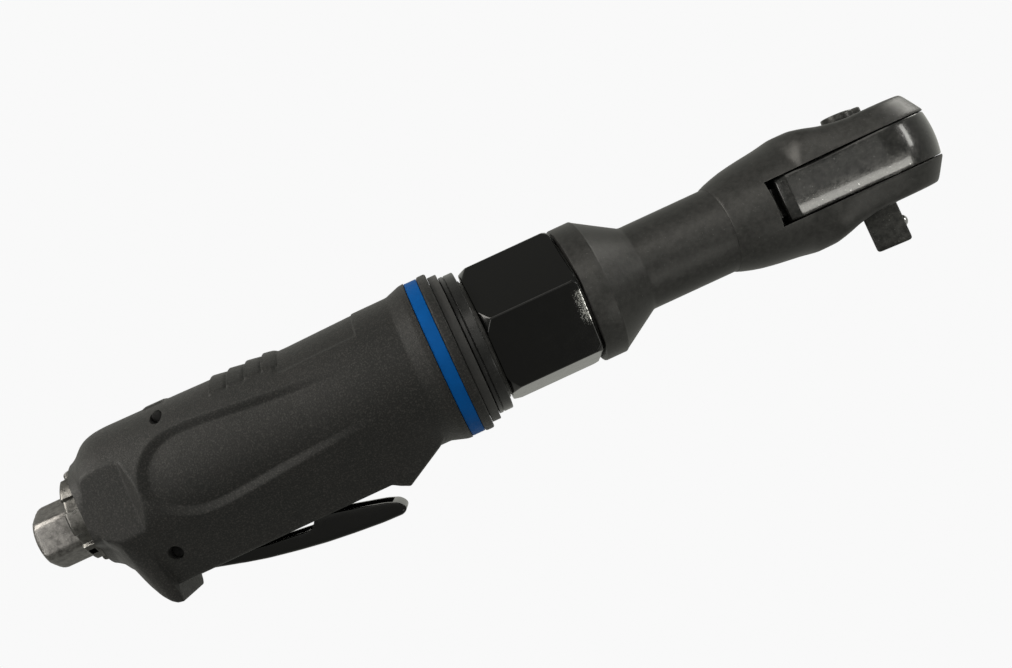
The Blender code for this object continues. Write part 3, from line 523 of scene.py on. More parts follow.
def gloss_paint():
    """Gloss black enamel with faint orange peel, chipped to bright metal along the clamp nut's
    rims. The bounds on x, y and z are in metres and pick out places on the nut."""
    look = Shading("gloss_black_paint")
    edge = look.edges(0.45)
    split = look.add("ShaderNodeSeparateXYZ", {0: look.place})
    x, y, z = (split.outputs[name] for name in "XYZ")
    chips = look.ramp(look.noise(scale=1300, detail=4, rough=0.75), over=(0.54, 0.58))
    patch = look.ramp(look.noise(scale=150, detail=2, rough=0.5), over=(0.44, 0.56))
    front = look.ramp(x, over=(-0.0932, -0.0926))
    rear = look.ramp(look.noise(scale=700, detail=3, rough=0.6), over=(0.55, 0.66), to=(0.0, 0.35))
    worn = look.times(look.times(edge, chips), look.times(patch, front))
    worn_rear = look.times(look.times(edge, rear), look.ramp(x, over=(-0.1170, -0.1174)))
    worn = look.math("MAXIMUM", worn, worn_rear)
    # fine chipping near the head end of the flat on the -y side
    strip = look.times(look.ramp(x, over=(-0.0930, -0.0906)), look.ramp(y, over=(-0.0165, -0.0175)))
    height = look.times(look.ramp(z, over=(0.0150, 0.0172)), look.ramp(z, over=(0.0265, 0.0248)))
    strip = look.times(strip, height)
    flecks = look.noise(scale=2600, detail=3, rough=0.75)
    flecks = look.math("ADD", flecks, look.times(strip, 0.16))
    flecks = look.ramp(flecks, over=(0.60, 0.66))
    flecks = look.times(flecks, look.ramp(strip, over=(0.02, 0.30)))
    worn = look.math("MAXIMUM", worn, flecks)
    look.put("Base Color", look.mix(worn, (0.0028, 0.0028, 0.0028), (0.62, 0.62, 0.60)))
    look.put("Metallic", worn)
    rough = look.noise(scale=380, detail=3)
    look.put("Roughness", look.ramp(rough, over=(0.3, 0.7), to=(0.10, 0.17)))
    look.put("Specular IOR Level", 0.30)
    peel = look.bump(look.noise(scale=420, detail=2, rough=0.5), distance=0.05, strength=0.12)
    fine = look.noise(scale=2400, detail=2, rough=0.5)
    look.put("Normal", look.bump(fine, distance=0.02, strength=0.12, under=peel))
    return look.material


GROUND = (60, 2200, 2200)  # noise stretch that draws lines along x

COMPOSITE = composite()
BLUE = plastic("blue_ring_plastic", (0.000, 0.062, 0.235), (0.000, 0.074, 0.28),
               roughness=0.55, grain=1400, bump=0.02, specular=0.08)
RUBBER = plastic("black_rubber", (0.011, 0.011, 0.011), (0.020, 0.019, 0.018),
                 roughness=0.58, grain=1600, bump=0.05, sheen=0.1)
GLOSS = gloss_paint()
LOCK = satin_metal(
    "semi_gloss_black", (0.007, 0.007, 0.007), (0.012, 0.012, 0.012), (0.12, 0.12, 0.12),
    roughness=0.28, edge=0.25, metallic=0.2, grain=2200, rub=0.2)
OXIDE = satin_metal(
    "black_oxide_steel", (0.045, 0.0443, 0.0430), (0.064, 0.0630, 0.0610), (0.20, 0.20, 0.195),
    roughness=0.45, edge=0.22, metallic=0.80, grain=2400, rub=0.45, bump=0.035)
YOKE = satin_metal(
    "polished_dark_steel", (0.026, 0.026, 0.0255), (0.046, 0.0455, 0.044), (0.38, 0.38, 0.37),
    roughness=0.21, edge=0.30, metallic=0.85, grain=1900, brush=(60, 2600, 2600), coat=0.35,
    rub=0.7, bump=0.02)
GUNMETAL = satin_metal(
    "gunmetal_zinc", (0.072, 0.070, 0.066), (0.130, 0.126, 0.119), (0.42, 0.42, 0.41),
    roughness=0.30, edge=0.30, metallic=0.90, grain=2600, bump=0.04)
HEX = satin_metal(
    "gunmetal_hex", (0.095, 0.091, 0.088), (0.215, 0.207, 0.199), (0.55, 0.54, 0.52),
    roughness=0.36, edge=0.28, metallic=0.90, grain=2200, rub=0.9, bump=0.06)
DRIVE = satin_metal(
    "worn_dark_steel", (0.036, 0.036, 0.035), (0.078, 0.077, 0.074), (0.42, 0.42, 0.40),
    roughness=0.36, edge=0.40, metallic=0.85, grain=1700, rub=1.0, bump=0.04)
STEEL = satin_metal(
    "ground_steel", (0.42, 0.42, 0.43), (0.58, 0.58, 0.59), (0.72, 0.72, 0.72),
    roughness=0.24, edge=0.15, metallic=1.0, grain=1400, brush=GROUND, rub=0.5, bump=0.015)
BRIGHT = satin_metal(
    "bright_steel", (0.48, 0.48, 0.48), (0.62, 0.62, 0.62), (0.75, 0.75, 0.75),
    roughness=0.16, edge=0.10, metallic=1.0, grain=1400, rub=0.5, bump=0.015)
SPRING = satin_metal(
    "spring_steel", (0.30, 0.30, 0.31), (0.44, 0.44, 0.45), (0.62, 0.62, 0.62),
    roughness=0.30, edge=0.10, metallic=1.0, grain=2600, rub=0.3, bump=0.02)
BRASS = satin_metal(
    "brass", (0.56, 0.37, 0.13), (0.72, 0.50, 0.20), (0.85, 0.66, 0.34),
    roughness=0.30, edge=0.12, metallic=1.0, grain=1500, brush=GROUND, rub=0.6, bump=0.02)
IRON = satin_metal(
    "cast_iron", (0.10, 0.10, 0.105), (0.19, 0.19, 0.195), (0.34, 0.34, 0.34),
    roughness=0.46, edge=0.20, metallic=0.9, grain=900, rub=0.5, bump=0.12)
FELT = plastic("grey_felt", (0.13, 0.13, 0.125), (0.24, 0.24, 0.23),
               roughness=0.93, grain=1100, bump=0.35, sheen=0.4, specular=0.2)
RESIN = plastic("vane_resin", (0.11, 0.045, 0.02), (0.19, 0.085, 0.035),
                roughness=0.55, grain=900, bump=0.05)
PIN = plastic("black_pin", (0.010, 0.010, 0.010), (0.018, 0.018, 0.018),
              roughness=0.75, grain=2200, specular=0.08)
SLOTS = {"composite": COMPOSITE, "blue": BLUE, "rubber": RUBBER, "gloss_black": GLOSS,
         "black_oxide": OXIDE, "gunmetal": GUNMETAL, "steel": STEEL, "spring_steel": SPRING,
         "brass": BRASS, "iron": IRON, "felt": FELT, "resin": RESIN}


def plain(name, colour, roughness, metallic):
    """A flat finish for what is closed inside the tool."""
    made = bpy.data.materials.new(name)
    made.use_nodes = True
    shader = made.node_tree.nodes["Principled BSDF"]
    shader.inputs["Base Color"].default_value = rgba(colour)
    shader.inputs["Roughness"].default_value = roughness
    shader.inputs["Metallic"].default_value = metallic
    return made


# slot: name, colour, roughness, metallic
INNER = {slot: plain(*values) for slot, values in {
    "steel": ("inner_steel", (0.50, 0.50, 0.51), 0.26, 1.0),
    "spring_steel": ("inner_spring_steel", (0.37, 0.37, 0.38), 0.30, 1.0),
    "brass": ("inner_brass", (0.60, 0.44, 0.20), 0.30, 1.0),
    "iron": ("inner_cast_iron", (0.145, 0.145, 0.15), 0.46, 0.9),
    "felt": ("inner_felt", (0.18, 0.18, 0.175), 0.93, 0.0),
    "resin": ("inner_vane_resin", (0.15, 0.065, 0.027), 0.55, 0.0),
    "rubber": ("inner_rubber", (0.015, 0.015, 0.015), 0.58, 0.0),
    "black_oxide": ("inner_black_oxide", (0.054, 0.053, 0.052), 0.45, 0.8),
}.items()}
SEEN_FROM_OUTSIDE = ("ring_gear", "thrust_washer", "retaining_ring", "inlet_screen")


def cad_finish(node_name, obj):
    """The finish of a CAD node: by its old material's name, then by the frame's record."""
    finish = STEEL
    for old in obj.data.materials:
        if old is not None:
            for slot_name, made in SLOTS.items():
                if slot_name in old.name.lower():
                    finish = made
    for part in frame["record"]["subparts"]:
        if node_name in json.dumps([part.get("node"), part.get("nodes"), part.get("name")]):
            key = part.get("material") or part.get("material_slot")
            if key in SLOTS:
                finish = SLOTS[key]
    if node_name == "ring_gear":
        finish = OXIDE
    if node_name not in SEEN_FROM_OUTSIDE:
        finish = next((INNER[slot] for slot in INNER if SLOTS[slot] is finish), finish)
    return finish


# every CAD node that stays inside the tool keeps its shape and takes its slot's finish
for node_name, obj in frame["nodes"].items():
    finish = cad_finish(node_name, obj)
    if len(obj.data.materials) == 0:
        obj.data.materials.append(finish)
    for k in range(len(obj.data.materials)):
        obj.data.materials[k] = finish

# ------------------------------------------------------------------ motor housing
# (x, distance from the tool axis)
BARREL = [(-226.0, 22.6), (-205.0, 22.4), (-170.0, 21.8), (-150.0, 22.3), (-138.6, 22.3)]
RADIUS_ABOVE = rounded_line([
    (BODY_X0, 16.9), (-235.4, 18.8), (-233.8, 20.5), (-231.9, 21.7), (-229.0, 22.4), *BARREL], 0.9)
RADIUS_FRONT = rounded_line([
    (-170.0, 21.8), (-150.0, 22.3), (-138.4, 22.35), (-133.9, 23.8), (-132.4, 23.95)], 0.22)
RADIUS_SIDE = rounded_line([
    (BODY_X0, 20.2), (-235.7, 21.0), (-235.2, 21.7), (-234.4, 22.2), (-233.2, 22.4),
    (-232.0, 22.45), *BARREL], 0.15)
RADIUS_BELOW = rounded_line([
    (BODY_X0, 14.2), (-235.4, 16.4), (-233.8, 18.6), (-231.9, 20.6), (-229.3, 22.3), *BARREL], 0.5)
KEEL = rounded_line([
    (BODY_X0, 6.0), (-235.3, 9.5), (-232.6, 16.8), (-231.2, 20.9), (-230.1, 23.7), (-228.2, 27.4),
    (-226.4, 29.7), (-225.0, 30.7), (-223.4, 31.0), (-222.95, 31.0), (-222.9, 26.2),
    (-158.0, 26.0), (-156.0, 27.2), (-153.4, 28.4), (-141.6, 22.0), (-132.4, 15.0)], 0.20)
KEEL_HALF = 9.8
REAR_PLAN_RADIUS = 50.0
# side panel: (x, degrees up from the tool's side)
PANEL = [
    (-216.9, 0.0), (-216.6, 8.0), (-215.3, 20.0), (-211.8, 31.5), (-206.9, 37.5), (-199.8, 38.2),
    (-192.5, 35.9), (-178.8, 31.3), (-165.5, 27.2), (-150.0, 22.8), (-140.0, 20.0),
    (-140.0, -15.5), (-157.4, -21.0), (-167.5, -24.0), (-178.5, -26.4), (-188.7, -29.0),
    (-198.0, -31.2), (-204.0, -30.5), (-208.6, -26.4), (-212.8, -19.0), (-215.6, -9.0)]
PANEL_MM_PER_DEGREE = 22.0 * math.pi / 180
# saw-tooth ridges: (x from, width)
TEETH = [(-192.4, 5.2), (-187.2, 5.3), (-181.9, 5.1), (-176.8, 4.6)]
# (x, z) of the slot that takes the lever
LEVER_SLOT = [(-222.6, -34.0), (-154.2, -34.0), (-154.2, -20.6), (-200.0, -20.6),
              (-200.0, -12.5), (-222.6, -12.5)]
# (y, z) of the slot's flared mouth
SLOT_MOUTH = [(-6.6, -20.0), (-6.6, -25.3), (-7.3, -26.6), (-7.3, -34.0),
              (7.3, -34.0), (7.3, -26.6), (6.6, -25.3), (6.6, -20.0)]


def smooth_closed(outline, rounds=3):
    """Corner-cutting, which turns a coarse outline into an even curve."""
    points = np.asarray(outline, float)
    for _ in range(rounds):
        after = np.roll(points, -1, 0)
        pair = [0.75 * points + 0.25 * after, 0.25 * points + 0.75 * after]
        points = np.stack(pair, 1).reshape(-1, 2)
    return points


def inside_distance(x, y, outline):
    """Signed distance to a closed outline, positive inside."""
    starts = np.asarray(outline, float)
    best = np.full(x.shape, 1e9)
    inside = np.zeros(x.shape, bool)
    for (x0, y0), (x1, y1) in zip(starts, np.roll(starts, -1, 0)):
        run, rise = x1 - x0, y1 - y0
        length = max(run * run + rise * rise, 1e-9)
        part = np.clip(((x - x0) * run + (y - y0) * rise) / length, 0, 1)
        best = np.minimum(best, np.hypot(x - x0 - part * run, y - y0 - part * rise))
        crosses = (y0 > y) != (y1 > y)
        with np.errstate(divide="ignore", invalid="ignore"):
            crossing = x0 + (y - y0) * run / (rise if rise else 1e-12)
        inside ^= crosses & (x < crossing)
    return np.where(inside, best, -best)


def housing_stations():
    """Stations along x, closer together where the surface changes quickly."""
    stations = np.unique(np.round(np.concatenate([
        np.arange(BODY_X0, BODY_X0 + 1.0, 0.12), np.arange(BODY_X0 + 1.0, -231.0, 0.22),
        np.arange(-231.0, -132.5, 0.40), np.arange(-223.6, -222.2, 0.115),
        np.arange(-193.0, -172.0, 0.22), np.arange(-150.2, -148.4, 0.16),
        np.arange(-139.6, -132.4, 0.22), [-132.4]]), 3))
    kept = [stations[0]]
    for x in stations[1:]:
        if x - kept[-1] > 0.11:
            kept.append(x)
    return np.array(kept)


def with_keel(x, from_below, down, barrel):
    """A flat floor and flat sides that leave the barrel at their tangent points."""
    depth = KEEL(x)
    edge = np.hypot(KEEL_HALF, depth)
    tangent = np.arctan2(KEEL_HALF, depth) + np.arccos(np.clip(barrel / edge, -1.0, 1.0))
    wall = barrel / np.cos(np.clip(tangent - from_below, -1.3, 1.3))
    floor = depth / np.maximum(down, 1e-3)
    keel = smooth_min(floor, wall, 0.9)
    on_keel = (edge > barrel) & (from_below < tangent)
    return np.where(on_keel, np.maximum(keel, barrel), barrel)


def side_panel(x, from_below):
    """Depth of the shallow drop-shaped panel on each side."""
    degrees = np.degrees(from_below) - 90.0
    arc = PANEL_MM_PER_DEGREE
    outline = smooth_closed([(station, degree * arc) for station, degree in PANEL])
    near = (x > -218) & (x < -138) & (np.abs(degrees) < 45)
    inner = np.full(x.shape, -9.0)
    inner[near] = inside_distance(x[near], degrees[near] * arc, outline)
    part = np.clip(inner / 2.1, 0, 1)
    wall = 0.75 * part + 0.25 * part * part * (3 - 2 * part)
    return 1.75 * wall * (1 - step(x, -186.0, -148.0))


def saw_teeth(x):
    ridge = np.zeros(x.shape)
    for start, width in TEETH:
        part = (x - start) / width
        on = (part >= 0) & (part < 1)
        shape = 0.82 * step(part, 0.0, 0.11) * (1 - part) ** 0.8
        shape = shape - 0.30 * step(part, 0.80, 1.0) * (part < 1)
        ridge = np.where(on, shape, ridge)
    return ridge


def housing():
    stations = housing_stations()
    columns = 440
    angles = circle_angles(columns)  # from straight down
    x, angle = np.meshgrid(stations, angles, indexing="ij")
    side, down = np.abs(np.sin(angle)), np.cos(angle)
    from_below = np.minimum(angle, 2 * math.pi - angle)
    # the rear end is rounded over above and below, and runs out to a crisp edge at the sides
    rear = np.where(down > 0, RADIUS_BELOW(x), RADIUS_ABOVE(x))
    share = np.where(down > 0, step(down, 0.24, 0.58), step(-down, 0.40, 0.94))
    rear = RADIUS_SIDE(x) + (rear - RADIUS_SIDE(x)) * share
    barrel = np.where(x < -155, rear, RADIUS_FRONT(x))
    reach = with_keel(x, from_below, down, barrel)
    # flat thumb pad on each side of the rear end, ending in a sloping face
    slope = np.maximum(0.0, x + 220.5) * 0.80
    plane = (20.2 + slope) / np.maximum(side - 0.07 * down, 1e-3)
    reach = smooth_min(reach, np.where(side > 0.35, plane, 99.0), 0.30)
    reach -= side_panel(x, from_below)
    # finger rest on top, with four saw-tooth ridges behind it
    from_top = 180.0 - np.degrees(from_below)
    rest = (1 - step(from_top, 44.6, 48.6)) * step(x, -174.0, -172.6)
    reach -= 0.36 * (rest * (1 - step(x, -149.5, -149.0)))
    reach += saw_teeth(x) * (1 - step(from_top, 37.0, 41.0))
    # low boss on top
    boss = step(x, -213.4, -212.8) * (1 - step(x, -207.6, -207.0))
    reach += 0.40 * (boss * (1 - step(from_top, 13.0, 15.0)))

    y, z = reach * np.sin(angle), -reach * np.cos(angle)
    # the rear face is curved in plan
    chord = REAR_PLAN_RADIUS**2 - np.minimum(np.abs(y), 30.0) ** 2
    back = REAR_PLAN_RADIUS - np.sqrt(np.maximum(chord, 1.0))
    x = x + back * (1 - step(x, BODY_X0, BODY_X0 + 14.0))
    rows = [np.stack([x, y, z], -1)]
    spigot = ((-132.34, 23.7), (-132.33, 20.3), (SPIGOT_X + 0.4, 20.3), (SPIGOT_X, 19.9))
    for level, radius in spigot:
        ring_x = np.full(columns, level)
        rows.append(np.stack([ring_x, radius * np.sin(angles), -radius * np.cos(angles)], -1)[None])
    body = grid("motor_housing_shell", np.concatenate(rows), smooth=38)
    cut(
        body,
        # recess for the collar, then the bores along the axis
        rod(-246.0, -235.7, 14.0, 96, centre=EXHAUST_CENTRE),
        rod(-199.0, -120.0, 18.4, 64),
        rod(-236.6, -231.0, 12.2),
        rod(-232.0, -228.4, 10.2, 32),
        rod(-229.0, -226.5, 8.4, 32),
        rod(-227.0, VALVE_X, 4.4, 24),
        # upright valve bore
        rod(-14.0, 16.1, 5.3, 32, "Z", (VALVE_X, 0.0)),
        prism(LEVER_SLOT, -6.6, 6.6, "Y"),
        prism(SLOT_MOUTH, -222.5, -157.0),
        rod(-30.0, 30.0, HINGE_BORE, 40, "Y", HINGE),
        rod(-30.0, 30.0, 1.8, 36, "Y", CROSS_PIN),
        smooth=38,
    )
    return body


place(housing(), "handle", COMPOSITE, "motor_housing")


# ------------------------------------------------------------------ turned rings ahead of it
def ring(name, node, inner, edge, finish):
    """A plain ring, 0.12 mm longer at each end than its CAD node."""
    x0, x1, outer = span(node)
    x0, x1 = x0 - 0.12, x1 + 0.12
    corners = [(x0, inner), (x0, outer), (x1, outer), (x1, inner)]
    piece = revolve(name, rounded(corners, [0.05, edge, edge, 0.05], 5), 256, closed=True)
    place(piece, "handle", finish, node)


ring("blue_trim_ring", "trim_ring", inner=20.6, edge=0.18, finish=BLUE)
ring("bumper_ring_moulding", "bumper_ring", inner=20.6, edge=0.75,
     finish=COMPOSITE)
ring("gasket_moulding", "front_gasket", inner=18.6, edge=0.30, finish=RUBBER)


def lock_ring():
    """A ring with a small groove near its rear end."""
    x0, x1, outer = span("lock_ring")
    inner, front = 18.6, outer - 0.05
    corners = [(x0, inner), (x0, outer), (x0 + 1.1, outer), (x0 + 1.35, outer - 0.35),
               (x0 + 1.6, front), (x1, front), (x1, inner)]
    profile = rounded(corners, [0.05, 0.35, 0.1, 0.08, 0.1, 0.45, 0.05])
    return revolve("lock_ring_turning", profile, 256, closed=True)


place(lock_ring(), "handle", LOCK, "lock_ring")


def clamp_nut():
    """A hexagonal nut with its corners turned down at both ends."""
    x0, x1, _ = span("clamp_nut")
    half_flat, corner, rim = 18.5, 21.2, 0.35
    # distances from either end, closest at the rims
    at_rear = [0.0, 0.04, 0.1, 0.18, 0.3, 0.5, 0.8, 1.1, 1.4, 1.7, 2.0, 2.3, 2.6, 2.9, 3.3]
    at_front = [2.0, 1.6, 1.3, 1.0, 0.75, 0.5, 0.32, 0.2, 0.1, 0.04, 0.0]
    stations = np.concatenate([
        x0 + np.array(at_rear), np.linspace(x0 + 4.0, x1 - 2.6, 24), x1 - np.array(at_front)])
    angles = circle_angles(900)
    x, angle = np.meshgrid(stations, angles, indexing="ij")
    off_flat = (angle - math.radians(169.0)) % (math.pi / 3) - math.pi / 6
    flat = half_flat / np.cos(off_flat)
    turned_down = np.interp(x, [x0, x0 + 2.6, x1 - 1.5, x1],
                            [corner - 1.75, corner, corner, corner - 0.75])
    reach = smooth_min(flat, turned_down, 0.06)
    for from_end in (x - x0, x1 - x):
        part = np.clip(from_end / rim, 0, 1)
        reach = reach - rim * (1 - np.sqrt(np.maximum(1 - (1 - part) ** 2, 0)))
    bore = [(x1, 17.7), (x1 - 0.3, 17.4), (-105.0, 17.4), (-105.0, 17.8), (x0 + 0.3, 17.8),
            (x0, 18.0)]
    rows = np.concatenate([polar(x, reach, angle), rings(bore, angles)])
    return grid("clamp_nut_turning", rows, True, 30)


place(clamp_nut(), "handle", GLOSS, "clamp_nut")


# ------------------------------------------------------------------ air inlet and exhaust
def inlet():
    """A hexagonal fitting with a short neck towards the housing and a threaded bore."""
    x0, x1, _ = span("inlet_fitting")
    hex_x1, bore_x1 = -242.1, -241.0
    half_flat, corner = 8.5, 9.35
    thread_pitch, thread_root, thread_depth = 1.41, 5.75, 0.55
    # hexagon: (x, how far its corners are turned down)
    outside = [(x0, 1.15), (x0 + 0.12, 0.85), (x0 + 0.35, 0.55), (x0 + 0.7, 0.28),
               (x0 + 1.2, 0.10), (x0 + 1.8, 0.0), (x0 + 4, 0.0), (x0 + 8, 0.0),
               (hex_x1 - 0.5, 0.0), (hex_x1 - 0.15, 0.1), (hex_x1, 0.35)]
    neck = [(hex_x1, 8.0), (x1 - 0.3, 8.0), (x1, 7.7), (x1, 4.3), (bore_x1, 4.3), (bore_x1, 5.3)]
    mouth = [(x0 + 0.8, 6.35), (x0 + 0.05, 7.0), (x0, 7.1)]
    angles = circle_angles(360)
    off_flat = (angles - math.radians(150.5)) % (math.pi / 3) - math.pi / 6
    hexagon = smooth_min(half_flat / np.cos(off_flat), corner, 0.25)
    hex_rows = [polar(x, np.minimum(hexagon, corner - less) - 0.55 * less, angles)
                for x, less in outside]
    x = np.arange(bore_x1, x0 + 0.9, -0.12)[:, None]
    phase = ((x - x0) / thread_pitch - angles / (2 * math.pi)) % 1.0
    fade = np.clip((-241.2 - x) / 1.2, 0, 1)
    thread = polar(x, thread_root + thread_depth * np.abs(2 * phase - 1) * fade, angles)
    rows = np.concatenate([hex_rows, rings(neck, angles), thread, rings(mouth, angles)])
    return grid("inlet_hex_fitting", rows, True, 30)


place(inlet(), "handle", HEX, "inlet_fitting")


def collar():
    """A ring round the inlet with eight grooves outside and five slits through its lower wall."""
    x0, x1, _ = span("exhaust_collar")
    inner_x = -239.9
    stations = np.concatenate([
        x0 + np.array([0.0, 0.05, 0.15, 0.3, 0.5, 0.8]), np.linspace(x0 + 1.2, x1 - 0.7, 8),
        x1 - np.array([0.4, 0.2, 0.08, 0.0])])
    angles = circle_angles(720)
    x, angle = np.meshgrid(stations, angles, indexing="ij")
    off_land = np.degrees(angle) - 183.0
    off_land = np.abs((off_land + 22.5) % 45.0 - 22.5)
    reach = 13.9 - 1.05 * step(off_land, 13.4, 15.4)
    reach -= 0.75 * (1 - np.clip((x - x0) / 0.8, 0, 1)) ** 2
    reach -= 0.2 * (1 - np.clip((x1 - x) / 0.2, 0, 1)) ** 2
    bore = [(x1, 12.5), (x1 - 0.15, 12.35), (inner_x, 12.35), (inner_x, 10.4), (x0 + 0.5, 10.4),
            (x0, 10.9)]
    rows = np.concatenate([polar(x, reach, angle, centre=EXHAUST_CENTRE),
                           rings(bore, angles, centre=EXHAUST_CENTRE)])
    body = grid("exhaust_collar_casting", rows, True, 30)
    slit_outline = rounded([(11.0, -1.05), (18.0, -1.05), (18.0, 1.05), (11.0, 1.05)], 0.3, 3)
    to_centre = Matrix.Translation((0, 0, (AXIS + EXHAUST_CENTRE[1]) * MM))
    from_axis = Matrix.Translation((0, 0, -AXIS * MM))
    for degrees in (225.0, 247.5, 270.0, 292.5, 315.0):
        slit = prism(slit_outline, -241.0, -239.0)
        turn = Matrix.Rotation(math.radians(degrees), 4, "X")
        slit.data.transform(to_centre @ turn @ from_axis)
        combine(body, slit, "DIFFERENCE")
    shade(body, 30)
    return body


place(collar(), "exhaust", GUNMETAL, "exhaust_collar")


def snap_ring():
    x0, x1, outer = span("collar_snap_ring")
    profile = rounded([(x0, 12.4), (x0, outer), (x1, outer), (x1, 12.4)], 0.12)
    return revolve("collar_retaining_wire", profile, 192, centre=EXHAUST_CENTRE, closed=True)


place(snap_ring(), "handle", BRIGHT, "collar_snap_ring")

# ------------------------------------------------------------------ throttle lever
# (x, z) of the lever's lower and upper lines
LEVER_LOW = rounded_line([
    (-221.0, -22.6), (-219.5, -23.8), (-215.4, -26.2), (-207.0, -28.5), (-198.6, -30.6),
    (-190.2, -32.2), (-181.8, -33.5), (-173.4, -34.4), (-165.0, -35.1), (-159.4, -35.25),
    (-157.6, -35.2)], 0.8)
LEVER_HIGH = rounded_line([
    (-222.0, -15.0), (-219.9, -14.1), (-217.6, -13.3), (-215.3, -14.1), (-213.7, -15.9),
    (-212.0, -18.6), (-209.0, -22.0), (-205.0, -25.5), (-197.0, -26.9), (-184.5, -28.3),
    (-182.8, -27.2), (-182.2, -25.0), (-173.4, -27.2), (-162.3, -30.1), (-158.6, -31.6),
    (-157.6, -32.2)], 0.55)
LEVER_HALF = 5.6


def lever():
    """A long lever, rounded off at its tip and heel and hollowed from above."""
    stations = np.concatenate([
        [-221.8, -221.7, -221.5, -221.2, -220.8, -220.3], np.arange(-219.8, -160.0, 0.5),
        -157.6 - np.array([2.2, 1.9, 1.6, 1.3, 1.0, 0.75, 0.52, 0.34, 0.2, 0.1, 0.03])])
    rows = []
    for x in stations:
        z0, z1 = float(LEVER_LOW(x)), float(LEVER_HIGH(x))
        tip = max(0.0, (x + 159.8) / 2.2)
        heel = max(0.0, (-220.4 - x) / 1.45)
        nose = math.sqrt(max(1 - tip * tip, 0.02)) * math.sqrt(max(1 - heel * heel, 0.03))
        middle = (z0 + z1) / 2 if x > -200 else -17.8
        z0, z1 = middle + (z0 - middle) * nose, middle + (z1 - middle) * nose
        half = LEVER_HALF * (0.80 + 0.20 * nose) if x > -200 else LEVER_HALF
        bottom = min(2.0, 0.45 * (z1 - z0), 0.9 * half)
        top = min(0.35, 0.3 * (z1 - z0))
        outline = rounded([(-half, z0), (half, z0), (half, z1), (-half, z1)],
                          [bottom, bottom, top, top], 8)
        rows.append([(x, y, z) for y, z in outline])
    body = grid("throttle_lever_pressing", rows, smooth=35)
    floor = [(x, float(LEVER_LOW(x)) + 1.6) for x in np.arange(-211.5, -161.0, 1.0)]
    end = [(-161.2, float(LEVER_LOW(-161.2)) + 1.7), (-160.5, -33.0), (-160.5, -10.0)]
    channel = [(-211.5, -10.0)] + floor + end
    cut(body, prism(channel, -4.2, 4.2, "Y"), rod(-10.0, 10.0, HINGE_BORE, 40, "Y", HINGE),
        smooth=35)
    return body


place(lever(), "throttle", GLOSS, "throttle_lever")


def pin(name, node, radius):
    """A cross pin along y with rounded ends, where its CAD node lies."""
    low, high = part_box(node)
    y0, y1 = low.y / MM, high.y / MM
    centre = ((low.x + high.x) / 2 / MM, (low.z + high.z) / 2 / MM - AXIS)
    # (distance from the end, radius)
    end = [(0.0, radius * 0.35), (0.0, radius - 0.35), (0.12, radius - 0.12), (0.4, radius)]
    profile = [(y0 + inwards, size) for inwards, size in end]
    profile += [(0.0, radius)]
    profile += [(y1 - inwards, size) for inwards, size in reversed(end)]
    place(revolve(name, profile, 64, "Y", centre), "handle", PIN, node)


pin("lever_hinge_pin", "lever_pin", radius=1.85)
pin("valve_retaining_pin", "valve_cross_pin", radius=1.6)

# ------------------------------------------------------------------ ratchet head
# half height and half width of the head: (x, mm)
NECK = [(-50.0, 12.95), (-43.9, 12.95), (-43.0, 13.4), (-40.1, 14.3), (-37.3, 15.0),
        (-34.4, 15.5), (-31.6, 15.9)]
HALF_HEIGHT = rounded_line([
    *NECK, (-28.7, 16.25), (-25.9, 16.6), (-21.6, 17.35), (-18.7, 17.0), (-16.5, 16.2),
    (-12.0, 14.5), (-8.0, 13.5), (-5.0, 13.2), (14.0, 13.2), (16.8, 13.2), (20.0, 7.4)], 0.25)
HALF_WIDTH = rounded_line([
    *NECK, (-28.7, 16.3), (-25.9, 16.8), (-20.7, 17.8), (-13.0, 19.1), (-6.0, 19.8),
    (0.0, 20.0)], 0.45)
HEAD_RADIUS = 20.0
# radius of the round head end: (distance from mid-height, mm)
EAR = rounded_line([(0.0, HEAD_RADIUS), (7.0, HEAD_RADIUS), (13.3, 16.5), (16.0, 15.0)], 0.2)
# turned part behind the head: (x, radius)
HEAD_TURNING = [
    (-103.9, 16.6), (-103.5, 17.0), (-89.14, 17.0), (-89.12, 19.6), (-89.05, 19.9), (-88.9, 20.1),
    (-88.6, 20.2), (-82.75, 20.2), (-82.5, 20.13), (-82.3, 19.95), (-82.0, 19.72), (-76.4, 16.25),
    (-70.9, 12.88), (-70.4, 12.68), (-69.9, 12.6), (-60.0, 12.6), (-52.0, 12.6), (-44.3, 12.6),
    (-44.22, 12.62), (-44.12, 12.9)]


